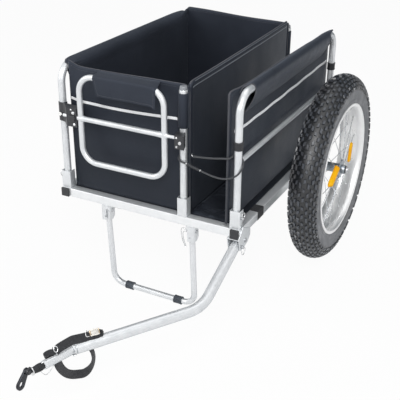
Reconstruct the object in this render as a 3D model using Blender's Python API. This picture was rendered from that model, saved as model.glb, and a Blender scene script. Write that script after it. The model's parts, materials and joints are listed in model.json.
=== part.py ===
"""Two-wheeled bicycle cargo trailer with a fabric box, a drop stand and a folding tow arm.

Metres, +Z up, ground at z = 0. The trailer is towed towards -Y, and left and right are as seen by
someone who stands at the hitch and looks at the box, so right is +X. Places are given to place() as
the distance right of the centre line, behind the front face of the rail end caps, and above the
rail tops.
"""

from math import cos, pi, radians, sin, tan

import bmesh
import bpy
from mathutils import Matrix, Vector

# Overall sizes
BASE_WIDTH = 0.560
RAIL_LENGTH = 0.7215
HOOP_HEIGHT = 0.358
TYRE_RADIUS = 0.290
WHEEL_BACK = 0.539

# Clearances
GAP = 0.0003
SLIDE_GAP = 0.0004

# Square base tubes
RAIL = 0.0254
RAIL_WALL = 0.0016
CAP_FRONT = 0.0062
CAP_PLUG_LENGTH = 0.016
AXLE_DROP = 0.0028
FLOOR_THICKNESS = 0.0046
FLOOR_COVER_THICKNESS = 0.0015
FLOOR_COVER_INSET = 0.001
BAND_START = 0.125
BAND_LENGTH = 0.040
BAND_THICKNESS = 0.0012

# Round posts, hoops and their sockets
POST_RADIUS = 0.010
POST_WALL = 0.0015
POST_INSET = 0.0155
SLOT_WIDTH = 0.1545
MIDDLE_POST_HEIGHT = 0.350
FERRULE_HEIGHT = 0.009
FERRULE_RADIUS = 0.0113
PLUG_HEIGHT = 0.010
SOCKET_WIDTH = 0.029
SOCKET_DEPTH = 0.0240
SOCKET_HEIGHT = 0.052
SOCKET_WALL = 0.0022
SOCKET_INSET = 0.0005
WELD_PAD = 0.003
FRONT_COLLAR_MIDDLE = 0.230
REAR_COLLAR_MIDDLE = 0.248
COLLAR_HEIGHT = 0.022
COLLAR_WALL = 0.002
SPIGOT_LENGTH = 0.030
SPIGOT_WALL = 0.0015
HOOP_BEND = 0.050
MID_RAIL_HEIGHT = 0.183
MID_RAIL_RADIUS = 0.007
MID_RAIL_STUB_RADIUS = 0.004
MID_RAIL_INSET = 0.0275

# Pull pins of the front sockets
PIN_RADIUS = 0.003
PIN_HEIGHT = 0.030
PIN_HEAD_RADIUS = 0.0045
PIN_HEAD_LENGTH = 0.006
PIN_RING_RADIUS = 0.0085
PIN_RING_WIRE = 0.0012

# Fabric panels
PANEL_THICKNESS = 0.010
SIDE_PANEL_THICKNESS = 0.011
DIVIDER_THICKNESS = 0.012
PANEL_BEHIND_POST = 0.002
PANEL_BESIDE_POST = 0.007
FRONT_PANEL_HEIGHT = 0.361
REAR_PANEL_HEIGHT = 0.378
DIVIDER_HEIGHT = 0.366
SIDE_PANEL_LOW = 0.012
SIDE_PANEL_HIGH = 0.362
SIDE_PANEL_PAST_POST = 0.015
FLAP_THICKNESS = 0.003
FLAP_DROP = 0.055
SLEEVE_LOW = 0.250
SLEEVE_THICKNESS = 0.003

# Support frame on the front of the box
SUPPORT_RADIUS = 0.008
SUPPORT_LEFT = -0.186
SUPPORT_RIGHT = 0.071
SUPPORT_LOW = 0.107
SUPPORT_HIGH = 0.350
SUPPORT_CORNER = 0.045
SUPPORT_AHEAD_OF_POST = 0.030
CROSS_BAR_HEIGHT = 0.231
CROSS_BAR_RADIUS = 0.0075
STUB_RADIUS = 0.0045
CLAMP_STUB_END = 0.022
CLAMP_BACK = 0.004
CLAMP_WRAP = 0.012
CLAMP_FRONT = 0.036
LEFT_CLAMP_LOW = 0.204
LEFT_CLAMP_HIGH = 0.256
MIDDLE_CLAMP_LOW = 0.203
MIDDLE_CLAMP_HIGH = 0.2395
LEFT_CLAMP_SHOULDER = 0.010
LEFT_CLAMP_NOSE = (0.018, 0.0615)
LEFT_CLAMP_BOLT = 0.055
LEFT_CLAMP_KNOB = 0.0235
MIDDLE_CLAMP_SHOULDER = 0.016
MIDDLE_CLAMP_NOSE = (-0.020, 0.007)
MIDDLE_CLAMP_BOLT = -0.001
MIDDLE_CLAMP_KNOB = 0.0095
CLAMP_BOLT_RADIUS = 0.0032
CLAMP_BOLT_FROM_EDGE = 0.0065
CLAMP_KNOB_RADIUS = 0.0055
CLAMP_KNOB_HEIGHT = 0.004

# Elastic cord between the middle and right posts
CORD_RADIUS = 0.0024
CORD_CLEARANCE = 0.0012
CORD_POINTS = 44
HOOK_RADIUS = 0.0042
HOOK_LENGTH = 0.020
HOOK_TAPER = 0.003

# Stand
STAND_RADIUS = 0.00825
STAND_LEG = 0.1345
STAND_PIVOT_BACK = 0.0205
STAND_PIVOT_BELOW_RAIL = 0.0181
STAND_FOOT_BACK = 0.0375
STAND_CORNER = 0.036
STAND_TOP = 0.004
FOOT_RADIUS = 0.0122
FOOT_WIDTH = 0.025
FOOT_LEFT = -0.080
FOOT_RIGHT = 0.082
STAND_BRACKET_WIDTH = 0.0265
STAND_BRACKET_DEPTH = 0.0275
STAND_BRACKET_HEIGHT = 0.047
BRACKET_WALL = 0.0024
BOLT_RADIUS = 0.003
BOLT_HEAD_RADIUS = 0.0055
BOLT_HEAD_HEIGHT = 0.0032
LEVER_LENGTH = 0.044
LEVER_WIDTH = 0.008
LEVER_THICKNESS = 0.0025
LEVER_STAND_OFF = 0.006
LEVER_BEND_START = 0.012
LEVER_BEND_END = 0.022

# Tow arm and its bracket
ARM_RADIUS = 0.014
ARM_WALL = 0.002
ARM_SIDE_GAP = 0.001
CHEEK = 0.003
ARM_PIVOT_BACK = 0.040
ARM_PIVOT_BELOW_RAIL = 0.0181
ARM_PIVOT_RADIUS = 0.005
ARM_LEVEL_BELOW_RAIL = 0.1086
ARM_BEND_BACK = -0.172
ARM_BEND_RADIUS = 0.110
ARM_SLIM_START = Vector((0.0813, -0.4555))
ARM_END = Vector((0.0558, -0.5352))
ARM_SLIM_RADIUS = 0.0105
LOCK_FROM_PIVOT = 0.024
ARM_BRACKET_BEHIND_PIVOT = 0.031
ARM_BRACKET_AHEAD_OF_RAIL = 0.0075
ARM_BRACKET_ROOF = 0.002
# The outer cheek laps over the side tube's face and peaks above its top
CHEEK_LAP = 0.0034
CHEEK_PEAK_BACK = 0.024
CHEEK_PEAK_UP = 0.004
# Lower edge of both cheeks from back to front, as (behind the pivot, above the pivot)
CHEEK_LOW_EDGE = ((0.032, 0.0035), (0.016, -0.0115), (0.0, -0.0155), (-0.018, -0.018), (-0.031, -0.018))

# Hitch
BALL_RADIUS = 0.0094
BALL_AHEAD = 0.006
COUPLING_TAPER_RADIUS = 0.0075
COUPLING_TAPER_START = 0.008
COUPLING_LENGTH = 0.0225
WASHER_RADIUS = 0.010
WASHER_THICKNESS = 0.003
EYE_PIVOT_AHEAD = 0.033
EYE_PIVOT_RISE = 0.004
TONGUE_THICKNESS = 0.006
TONGUE_RADIUS = 0.0075
EYE_THICKNESS = 0.005
EYE_PIVOT_RADIUS = 0.004
EYE_BACK_RADIUS = 0.008
EYE_RADIUS = 0.014
EYE_HOLE_RADIUS = 0.00625
EYE_REACH = 0.030
EYE_HANG = radians(46)

# Safety strap
STRAP_THICKNESS = 0.002
STRAP_WIDTH = 0.018
STRAP_DROP = 0.084
STRAP_BACK = 0.055
STRAP_FRONT_BLOCK = 0.016
STRAP_FRONT = -0.044
STRAP_TOP_BEND = -0.006
STRAP_POINTS = 18
# Route of the slack loop, as (behind the slim part's start, above the arm's middle)
STRAP_LOOP = ((-0.034, -0.040), (-0.014, -0.068), (0.012, -STRAP_DROP), (0.036, -STRAP_DROP),
              (0.056, -0.066), (0.062, -0.040))
BUCKLE_LENGTH = 0.036
BUCKLE_HEIGHT = 0.007

# Wheels
WHEEL_GAP = 0.025
TYRE_HALF_WIDTH = 0.0435
TYRE_SHELL = 0.004
RIM_RADIUS = 0.205
RIM_HALF_WIDTH = 0.040
RIM_DEPTH = 0.015
RIM_LIP = 0.003
RIM_WELL = 0.007
RIM_SIDE = 0.005
RIM_BASE_INSET = 0.012
BEAD_INSET = 0.0015
HUB_RADIUS = 0.017
HUB_HALF_LENGTH = 0.045
FLANGE_RADIUS = 0.029
FLANGE_THICKNESS = 0.003
FLANGE_OFFSET = 0.030
SPOKE_RADIUS = 0.001
SPOKES = 28
SPOKE_LEAN = 3
AXLE_RADIUS = 0.006
AXLE_HEAD_RADIUS = 0.0095
AXLE_HEAD_LENGTH = 0.008
AXLE_TUBE_RADIUS = 0.010
AXLE_INSERT = 0.034
SPOKE_FROM_FLANGE_EDGE = 0.003
SPOKE_HUB_STAGGER = 0.002
SPOKE_RIM_OFFSET = 0.010
SPOKE_RIM_STAGGER = 0.0012
REFLECTOR_WIDTH = 0.020
REFLECTOR_THICKNESS = 0.006
REFLECTOR_OFFSET = 0.0338
# Each reflector's distance behind and above the axle, its length and its tilt in degrees
REFLECTORS = ((-0.0906, 0.0123, 0.078, 31), (0.0731, 0.0281, 0.064, 80))

# Resolution of round shapes
SIDES = 12
HUB_SIDES = 16
WHEEL_SIDES = 36
BEND_STEPS = 4
SHARP_ANGLE = radians(35)

# Places that follow from the sizes
HALF_WIDTH = BASE_WIDTH / 2
RAIL_FRONT = CAP_FRONT + GAP
RAIL_BACK = RAIL_FRONT + RAIL_LENGTH
ROLL_RADIUS = TYRE_RADIUS * cos(pi / WHEEL_SIDES)
RAIL_TOP_Z = ROLL_RADIUS + AXLE_DROP + RAIL / 2
POST_X = HALF_WIDTH - POST_INSET
POST_FROM_RAIL_FRONT = POST_RADIUS + GAP + SOCKET_WALL + SOCKET_INSET
MIDDLE_X = POST_X - SLOT_WIDTH
FRONT_POST_Y = RAIL_FRONT + POST_FROM_RAIL_FRONT
REAR_POST_Y = RAIL_BACK - POST_FROM_RAIL_FRONT
STAND_PIVOT_DROP = RAIL + STAND_PIVOT_BELOW_RAIL
ARM_PIVOT_DROP = RAIL + ARM_PIVOT_BELOW_RAIL
ARM_LEVEL_DROP = RAIL + ARM_LEVEL_BELOW_RAIL
ARM_X = HALF_WIDTH + GAP - ARM_RADIUS - ARM_SIDE_GAP
ARM_AHEAD = Vector((ARM_END.x - ARM_SLIM_START.x, ARM_END.y - ARM_SLIM_START.y)).normalized()
BALL_CENTRE = ARM_END + ARM_AHEAD * BALL_AHEAD
EYE_PIVOT = BALL_CENTRE + ARM_AHEAD * EYE_PIVOT_AHEAD
HITCH_TIP = EYE_PIVOT.y - EYE_REACH * cos(EYE_HANG) - EYE_RADIUS
FRONT_Y = -(WHEEL_BACK + ROLL_RADIUS + HITCH_TIP) / 2
WHEEL_X = HALF_WIDTH + WHEEL_GAP + TYRE_HALF_WIDTH

# Looks, as colour, roughness and metallic
SILVER = ((0.80, 0.81, 0.82), 0.32, 0.7)
CHROME = ((0.85, 0.86, 0.87), 0.12, 1.0)
STEEL = ((0.55, 0.56, 0.58), 0.35, 1.0)
BLACK_PLASTIC = ((0.018, 0.018, 0.020), 0.45, 0.0)
BLACK_RUBBER = ((0.020, 0.020, 0.021), 0.80, 0.0)
DARK_FABRIC = ((0.055, 0.058, 0.072), 0.90, 0.0)
BLACK_WEBBING = ((0.022, 0.022, 0.025), 0.85, 0.0)
TYRE_BLACK = ((0.035, 0.036, 0.040), 0.85, 0.0)
AMBER = ((0.95, 0.42, 0.02), 0.25, 0.0)


def place(right, back, up):
    """The world point this far right of the centre line, behind the cap faces and above the rail tops."""
    return Vector((right, FRONT_Y + back, RAIL_TOP_Z + up))


def dress(obj, look):
    """Gives the object its own material."""
    colour, roughness, metallic = look
    material = bpy.data.materials.new(obj.name)
    material.use_nodes = True
    shader = material.node_tree.nodes["Principled BSDF"]
    shader.inputs["Base Color"].default_value = (*colour, 1.0)
    shader.inputs["Roughness"].default_value = roughness
    shader.inputs["Metallic"].default_value = metallic
    material.diffuse_color = (*colour, 1.0)
    obj.data.materials.append(material)


def add_mesh(name, points, faces, look):
    """One closed mesh object in world coordinates, its faces turned outwards."""
    mesh = bpy.data.meshes.new(name)
    mesh.from_pydata([tuple(point) for point in points], [], faces)
    work = bmesh.new()
    work.from_mesh(mesh)
    bmesh.ops.recalc_face_normals(work, faces=work.faces)
    work.to_mesh(mesh)
    work.free()
    mesh.shade_smooth()
    mesh.set_sharp_from_angle(angle=SHARP_ANGLE)
    obj = bpy.data.objects.new(name, mesh)
    bpy.context.scene.collection.objects.link(obj)
    dress(obj, look)
    return obj


def combine(target, other, operation):
    """Adds a live Boolean with a helper that no render shows."""
    other.hide_render = True
    other.display_type = "WIRE"
    modifier = target.modifiers.new(other.name, "BOOLEAN")
    modifier.operation = operation
    modifier.solver = "EXACT"
    modifier.object = other
    return target


def weld(target, *others):
    for other in others:
        combine(target, other, "UNION")
    return target


def cut(target, *others):
    for other in others:
        combine(target, other, "DIFFERENCE")
    return target


def hang_on(pivot_name, pivot, *objects):
    """Parents one moving body's pieces to an empty on its joint axis, and leaves them in place."""
    empty = bpy.data.objects.new(pivot_name, None)
    empty.location = pivot
    bpy.context.scene.collection.objects.link(empty)
    for obj in objects:
        obj.data.transform(Matrix.Translation(-pivot))
        obj.parent = empty


def add_box(name, low, high, look):
    points = [(x, y, z) for x in (low[0], high[0]) for y in (low[1], high[1]) for z in (low[2], high[2])]
    faces = [(0, 1, 3, 2), (4, 6, 7, 5), (0, 4, 5, 1), (2, 3, 7, 6), (0, 2, 6, 4), (1, 5, 7, 3)]
    return add_mesh(name, points, faces, look)


def add_prism(name, outline, axis, low, high, look):
    """A flat outline pushed along one axis. Its points are (y, z) for x, (x, z) for y and (x, y) for z."""
    def point(pair, height):
        values = list(pair)
        values.insert("xyz".index(axis), height)
        return tuple(values)

    count = len(outline)
    points = [point(pair, low) for pair in outline] + [point(pair, high) for pair in outline]
    faces = [tuple(range(count)), tuple(range(2 * count - 1, count - 1, -1))]
    faces += [(i, (i + 1) % count, (i + 1) % count + count, i + count) for i in range(count)]
    return add_mesh(name, points, faces, look)


def skin(name, rings, look, closed=False):
    """A surface through rings of equal count, capped at its ends unless the last ring meets the first."""
    rings = [ring for i, ring in enumerate(rings) if i == 0 or (ring[0] - rings[i - 1][0]).length > 1e-7]
    sides = len(rings[0])
    points = [point for ring in rings for point in ring]
    spans = len(rings) if closed else len(rings) - 1
    faces = []
    for i in range(spans):
        a, b = i * sides, (i + 1) % len(rings) * sides
        faces += [(a + k, a + (k + 1) % sides, b + (k + 1) % sides, b + k) for k in range(sides)]
    if not closed:
        faces.append(tuple(range(sides)))
        faces.append(tuple(range(len(points) - sides, len(points))))
    return add_mesh(name, points, faces, look)


def ring_at(centre, across, up, radius, sides):
    """A ring of points whose flats face along the two directions."""
    angles = [2 * pi * (k + 0.5) / sides for k in range(sides)]
    return [centre + (across * cos(a) + up * sin(a)) * radius for a in angles]


def directions_along(points, closed):
    """The path's direction at each of its points, also where two points coincide."""
    count = len(points)
    found = []
    for i in range(count):
        ahead = behind = i
        while (points[ahead] - points[i]).length < 1e-7 and (closed or ahead < count - 1):
            ahead = (ahead + 1) % count
        while (points[behind] - points[i]).length < 1e-7 and (closed or behind > 0):
            behind = (behind - 1) % count
        found.append((points[ahead] - points[behind]).normalized())
    return found


def rings_along(points, radii, sides, closed, side_way):
    """One ring at each point, turned with the path and without twist from the first sideways direction."""
    rings = []
    across = side_way
    for point, way, radius in zip(points, directions_along(points, closed), radii):
        across = (across - way * across.dot(way)).normalized()
        rings.append(ring_at(point, across, way.cross(across), radius, sides))
    return rings


def add_tube(name, points, outer, look, inner=None, closed=False, side_way=(1, 0, 0), sides=SIDES):
    """A round tube along a path. A radius is one number, or one for each point."""
    def each(radius):
        return radius if isinstance(radius, list) else [radius] * len(points)

    side_way = Vector(side_way)
    rings = rings_along(points, each(outer), sides, closed, side_way)
    if inner is None:
        return skin(name, rings, look, closed)
    bore = rings_along(points, each(inner), sides, closed, side_way)
    return skin(name, rings + bore[::-1], look, closed=True)


def add_rod(name, start, end, radius, look, inner=None, sides=SIDES):
    way = (end - start).normalized()
    side_way = (0, 0, 1) if abs(way.z) < 0.7 else (1, 0, 0)
    return add_tube(name, [start, end], radius, look, inner=inner, side_way=side_way, sides=sides)


def add_turned(name, profile, centre, way, look, closed=False, sides=SIDES):
    """A profile of (distance along, radius) turned round an axis. A closed profile makes a ring."""
    side_way = Vector((0, 0, 1)) if abs(way.z) < 0.7 else Vector((1, 0, 0))
    across = (side_way - way * side_way.dot(way)).normalized()
    up = way.cross(across)
    rings = [ring_at(centre + way * along, across, up, radius, sides) for along, radius in profile]
    return skin(name, rings, look, closed)


def rounded(corners, radius, closed=False, steps=BEND_STEPS):
    """The path through these corners, with each bend drawn as an arc."""
    count = len(corners)
    path = [] if closed else [corners[0]]
    for i in range(0 if closed else 1, count if closed else count - 1):
        corner = corners[i]
        back = (corners[i - 1] - corner).normalized()
        ahead = (corners[(i + 1) % count] - corner).normalized()
        half = back.angle(ahead) / 2
        middle = corner + (back + ahead).normalized() * radius / sin(half)
        first = corner + back * radius / tan(half) - middle
        last = corner + ahead * radius / tan(half) - middle
        path += [middle + first.slerp(last, step / steps).normalized() * radius for step in range(steps + 1)]
    return path if closed else path + [corners[-1]]


def smooth_path(route, count):
    """Points read at even steps of a smooth curve through the route's points."""
    ends = [2 * route[0] - route[1]] + route + [2 * route[-1] - route[-2]]
    fine = []
    for i in range(1, len(ends) - 2):
        a, b, c, d = ends[i - 1 : i + 3]
        for step in range(24):
            t = step / 24
            fine.append(0.5 * (2 * b + (c - a) * t + (2 * a - 5 * b + 4 * c - d) * t * t
                               + (3 * b - a - 3 * c + d) * t * t * t))
    fine.append(route[-1])
    lengths = [0.0]
    for first, second in zip(fine, fine[1:]):
        lengths.append(lengths[-1] + (second - first).length)
    points = []
    j = 0
    for i in range(count):
        wanted = lengths[-1] * i / (count - 1)
        while j < len(fine) - 2 and lengths[j + 1] < wanted:
            j += 1
        share = (wanted - lengths[j]) / (lengths[j + 1] - lengths[j])
        points.append(fine[j].lerp(fine[j + 1], share))
    return points


def arc(centre, radius, start, end, steps):
    """Points of a flat arc, its angles in degrees."""
    angles = [radians(start + (end - start) * i / steps) for i in range(steps + 1)]
    return [(centre[0] + radius * cos(a), centre[1] + radius * sin(a)) for a in angles]


def clear_scene():
    for obj in list(bpy.data.objects):
        bpy.data.objects.remove(obj, do_unlink=True)


def square_tube(name, low, high, axis, look, closed_end=False):
    """A square tube along one axis. Its far end is closed by a plate where closed_end is set."""
    tube = add_box(name, low, high, look)
    index = "xyz".index(axis)
    inside_low = [value + RAIL_WALL for value in low]
    inside_high = [value - RAIL_WALL for value in high]
    inside_low[index] = low[index] - RAIL_WALL
    inside_high[index] = high[index] + (-RAIL_WALL if closed_end else RAIL_WALL)
    return cut(tube, add_box(name + "_inside", inside_low, inside_high, look))


def add_socket(name, middle_x, post_y, opens, pin_hole):
    """A welded channel that holds a post's foot, open to the front or to the back."""
    half = SOCKET_WIDTH / 2
    plate = post_y - opens * (POST_RADIUS + GAP + SOCKET_WALL)
    mouth = plate + opens * SOCKET_DEPTH
    inner = half - SOCKET_WALL
    outline = [(middle_x - half, plate), (middle_x + half, plate), (middle_x + half, mouth),
               (middle_x + inner, mouth), (middle_x + inner, plate + opens * SOCKET_WALL),
               (middle_x - inner, plate + opens * SOCKET_WALL), (middle_x - inner, mouth),
               (middle_x - half, mouth)]
    outline = [(x, FRONT_Y + y) for x, y in outline]
    channel = add_prism(name, outline, "z", RAIL_TOP_Z + GAP, RAIL_TOP_Z + SOCKET_HEIGHT, SILVER)
    if pin_hole:
        start = place(middle_x, post_y, PIN_HEIGHT)
        reach = Vector((pin_hole * SOCKET_WIDTH, 0, 0))
        cut(channel, add_rod(name + "_pin_hole", start, start + reach, PIN_RADIUS + GAP, SILVER))
    return channel


def add_weld_pad(name, left, right, post_y, opens):
    """The plate that a socket and its post stand on, sunk a little into the rail's top."""
    plate = post_y - opens * (POST_RADIUS + GAP + SOCKET_WALL / 2)
    mouth = plate + opens * (SOCKET_DEPTH - SOCKET_WALL)
    front, back = sorted((plate, mouth))
    return add_box(name, place(left, front, -RAIL_WALL / 2), place(right, back, WELD_PAD), SILVER)


def build_side_rail(side, word):
    """A side tube with its two post sockets. The pull pin's hole is in the front socket's outer wall."""
    inner_x, outer_x = sorted((side * HALF_WIDTH, side * (HALF_WIDTH - RAIL)))
    rail = square_tube("side_rail_" + word, place(inner_x, RAIL_FRONT, -RAIL),
                       place(outer_x, RAIL_BACK, 0), "y", SILVER, closed_end=True)
    for end, post_y, opens in (("front", FRONT_POST_Y, 1), ("rear", REAR_POST_Y, -1)):
        name = f"{word}_{end}_socket"
        pad_half = min(HALF_WIDTH - POST_X, POST_X - HALF_WIDTH + RAIL) - RAIL_WALL / 2
        pad = add_weld_pad(name + "_pad", side * POST_X - pad_half, side * POST_X + pad_half, post_y, opens)
        weld(rail, add_socket(name, side * POST_X, post_y, opens, side if end == "front" else 0), pad)
    axle = place(side * (HALF_WIDTH - 2 * RAIL), WHEEL_BACK, -RAIL / 2 - AXLE_DROP)
    beyond = place(side * (HALF_WIDTH + RAIL), WHEEL_BACK, -RAIL / 2 - AXLE_DROP)
    return cut(rail, add_rod(word + "_axle_hole", axle, beyond, AXLE_RADIUS + SLIDE_GAP, SILVER))


def build_cross_rail(word, front, post_y, opens):
    """A front or rear tube between the side tubes, with the middle post's socket."""
    reach = HALF_WIDTH - RAIL - GAP
    low, high = place(-reach, front, -RAIL), place(reach, front + RAIL, 0)
    rail = square_tube(word + "_rail", low, high, "x", SILVER)
    name = f"middle_{word}_socket"
    pad_half = SOCKET_WIDTH / 2 - SOCKET_WALL / 2
    pad = add_weld_pad(name + "_pad", MIDDLE_X - pad_half, MIDDLE_X + pad_half, post_y, opens)
    return weld(rail, add_socket(name, MIDDLE_X, post_y, opens, 0), pad)


def build_end_cap(side, word):
    """A plastic cap with a plug that fills the side tube's open front end."""
    left, right = sorted((side * HALF_WIDTH, side * (HALF_WIDTH - RAIL)))
    wall = RAIL_WALL + SLIDE_GAP
    cap = add_box("rail_end_cap_" + word, place(left, 0, -RAIL), place(right, CAP_FRONT, 0), BLACK_PLASTIC)
    plug = add_box(f"rail_end_cap_{word}_plug", place(left + wall, CAP_FRONT - RAIL_WALL, wall - RAIL),
                   place(right - wall, CAP_FRONT + CAP_PLUG_LENGTH, -wall), BLACK_PLASTIC)
    return weld(cap, plug)


def build_base():
    for side, word in ((-1, "left"), (1, "right")):
        build_side_rail(side, word)
        build_end_cap(side, word)
    build_cross_rail("front", RAIL_FRONT, FRONT_POST_Y, 1)
    build_cross_rail("rear", RAIL_BACK - RAIL, REAR_POST_Y, -1)
    reach = HALF_WIDTH - RAIL - GAP
    axle_up = -RAIL / 2 - AXLE_DROP
    add_rod("axle_tube", place(-reach, WHEEL_BACK, axle_up), place(reach, WHEEL_BACK, axle_up),
            AXLE_TUBE_RADIUS, SILVER, inner=AXLE_RADIUS + SLIDE_GAP)
    floor_front = RAIL_FRONT + RAIL + GAP
    floor_back = RAIL_BACK - RAIL - GAP
    floor_reach = reach - BAND_THICKNESS - GAP
    add_box("floor_panel", place(-floor_reach, floor_front, -GAP - FLOOR_THICKNESS),
            place(floor_reach, floor_back, -GAP), DARK_FABRIC)
    build_floor_cover()
    build_rail_band()


def build_floor_cover():
    """The loose fabric on the wide bay's floor, between its four walls."""
    left = SIDE_PANEL_THICKNESS + PANEL_BESIDE_POST + POST_RADIUS - POST_X + FLOOR_COVER_INSET
    right = MIDDLE_X + POST_RADIUS - DIVIDER_THICKNESS - FLOOR_COVER_INSET
    from_post = POST_RADIUS + PANEL_BEHIND_POST + PANEL_THICKNESS + FLOOR_COVER_INSET
    add_box("floor_cover", place(left, FRONT_POST_Y + from_post, 0),
            place(right, REAR_POST_Y - from_post, FLOOR_COVER_THICKNESS), DARK_FABRIC)


def build_rail_band():
    """A rubber band round the right side tube, as a square ring."""
    hole = GAP
    wall = GAP + BAND_THICKNESS
    left, right = HALF_WIDTH - RAIL, HALF_WIDTH
    band = add_box("rail_band", place(left - wall, BAND_START, -RAIL - wall),
                   place(right + wall, BAND_START + BAND_LENGTH, wall), BLACK_RUBBER)
    inside = add_box("rail_band_inside", place(left - hole, BAND_START - wall, -RAIL - hole),
                     place(right + hole, BAND_START + BAND_LENGTH + wall, hole), BLACK_RUBBER)
    return cut(band, inside)


def build_side_frame(side, word):
    """Two lower posts and the rail between them, as one welded frame."""
    x = side * POST_X
    inner = POST_RADIUS - POST_WALL
    front = add_rod("side_frame_" + word, place(x, FRONT_POST_Y, WELD_PAD + GAP),
                    place(x, FRONT_POST_Y, FRONT_COLLAR_MIDDLE), POST_RADIUS, SILVER, inner=inner)
    rear = add_rod(f"{word}_rear_post", place(x, REAR_POST_Y, WELD_PAD + GAP),
                   place(x, REAR_POST_Y, REAR_COLLAR_MIDDLE), POST_RADIUS, SILVER, inner=inner)
    into_wall = POST_RADIUS - POST_WALL * 0.6
    stops = [FRONT_POST_Y + into_wall, FRONT_POST_Y + MID_RAIL_INSET, FRONT_POST_Y + MID_RAIL_INSET,
             REAR_POST_Y - MID_RAIL_INSET, REAR_POST_Y - MID_RAIL_INSET, REAR_POST_Y - into_wall]
    radii = [MID_RAIL_STUB_RADIUS] * 2 + [MID_RAIL_RADIUS] * 2 + [MID_RAIL_STUB_RADIUS] * 2
    rail = add_tube(f"{word}_mid_rail", [place(x, y, MID_RAIL_HEIGHT) for y in stops], radii, SILVER)
    frame = weld(front, rail, rear)
    start = place(x, FRONT_POST_Y, PIN_HEIGHT)
    hole = add_rod(f"{word}_post_pin_hole", start, start + Vector((side * SOCKET_WIDTH, 0, 0)),
                   PIN_RADIUS + GAP, SILVER)
    return cut(frame, hole)


def build_hoop(side, word):
    """The bent top rail of one side, whose thinner ends slide into the lower posts."""
    x = side * POST_X
    corners = [place(x, FRONT_POST_Y, FRONT_COLLAR_MIDDLE + GAP), place(x, FRONT_POST_Y, HOOP_HEIGHT),
               place(x, REAR_POST_Y, HOOP_HEIGHT), place(x, REAR_POST_Y, REAR_COLLAR_MIDDLE + GAP)]
    path = rounded(corners, HOOP_BEND)
    drop = Vector((0, 0, -SPIGOT_LENGTH))
    points = [path[0] + drop, path[0]] + path + [path[-1], path[-1] + drop]
    spigot = (POST_RADIUS - POST_WALL) * cos(pi / SIDES)
    radii = [spigot] * 2 + [POST_RADIUS] * len(path) + [spigot] * 2
    return add_tube("hoop_" + word, points, radii, SILVER, inner=spigot - SPIGOT_WALL)


def build_posts():
    for side, word in ((-1, "left"), (1, "right")):
        build_side_frame(side, word)
        build_hoop(side, word)
        for end, post_y, middle in (("front", FRONT_POST_Y, FRONT_COLLAR_MIDDLE),
                                    ("rear", REAR_POST_Y, REAR_COLLAR_MIDDLE)):
            if side < 0 and end == "front":
                continue
            bore = POST_RADIUS + SLIDE_GAP
            add_rod(f"hoop_collar_{word}_{end}",
                    place(side * POST_X, post_y, middle - COLLAR_HEIGHT / 2),
                    place(side * POST_X, post_y, middle + COLLAR_HEIGHT / 2),
                    bore + COLLAR_WALL, BLACK_PLASTIC, inner=bore)
        build_socket_pin(side, word)
    for end, post_y in (("front", FRONT_POST_Y), ("rear", REAR_POST_Y)):
        build_middle_post(end, post_y)


def build_middle_post(end, post_y):
    """A loose upright with a ferrule at its top, closed by a plastic plug."""
    ferrule = MIDDLE_POST_HEIGHT - FERRULE_HEIGHT
    stops = [WELD_PAD + GAP, ferrule, ferrule, MIDDLE_POST_HEIGHT]
    radii = [POST_RADIUS] * 2 + [FERRULE_RADIUS] * 2
    inner = POST_RADIUS - POST_WALL
    add_tube("middle_post_" + end, [place(MIDDLE_X, post_y, up) for up in stops], radii, SILVER, inner=inner)
    stem = inner - SLIDE_GAP
    base = place(MIDDLE_X, post_y, MIDDLE_POST_HEIGHT + GAP)
    profile = [(-PLUG_HEIGHT, stem), (0, stem), (0, POST_RADIUS), (PLUG_HEIGHT * 0.7, POST_RADIUS),
               (PLUG_HEIGHT, POST_RADIUS * 0.8)]
    add_turned("post_plug_" + end, profile, base, Vector((0, 0, 1)), BLACK_PLASTIC)


def add_pull_ring(name, top, side_way):
    """A wire ring that hangs from a pin's head."""
    centre = top - Vector((0, 0, PIN_RING_RADIUS))
    angles = [2 * pi * i / 12 for i in range(12)]
    points = [centre + Vector((0, sin(a), cos(a))) * PIN_RING_RADIUS for a in angles]
    return add_tube(name, points, PIN_RING_WIRE, CHROME, closed=True, side_way=side_way, sides=4)


def build_socket_pin(side, word):
    """The spring pin that locks a front post in its socket, with its pull ring."""
    way = Vector((side, 0, 0))
    outside = place(side * POST_X, FRONT_POST_Y, PIN_HEIGHT) + way * (SOCKET_WIDTH / 2 + GAP)
    tip = -(SOCKET_WIDTH / 2 - POST_RADIUS + 2 * POST_WALL)
    profile = [(tip, PIN_RADIUS), (0, PIN_RADIUS), (0, PIN_HEAD_RADIUS), (PIN_HEAD_LENGTH, PIN_HEAD_RADIUS)]
    pin = add_turned("socket_pin_" + word, profile, outside, way, STEEL)
    ring_top = outside + way * (PIN_HEAD_LENGTH - PIN_RING_WIRE)
    weld(pin, add_pull_ring(f"socket_pin_{word}_ring", ring_top, way))
    hang_on(f"socket_pin_{word}_axis", outside, pin)


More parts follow.
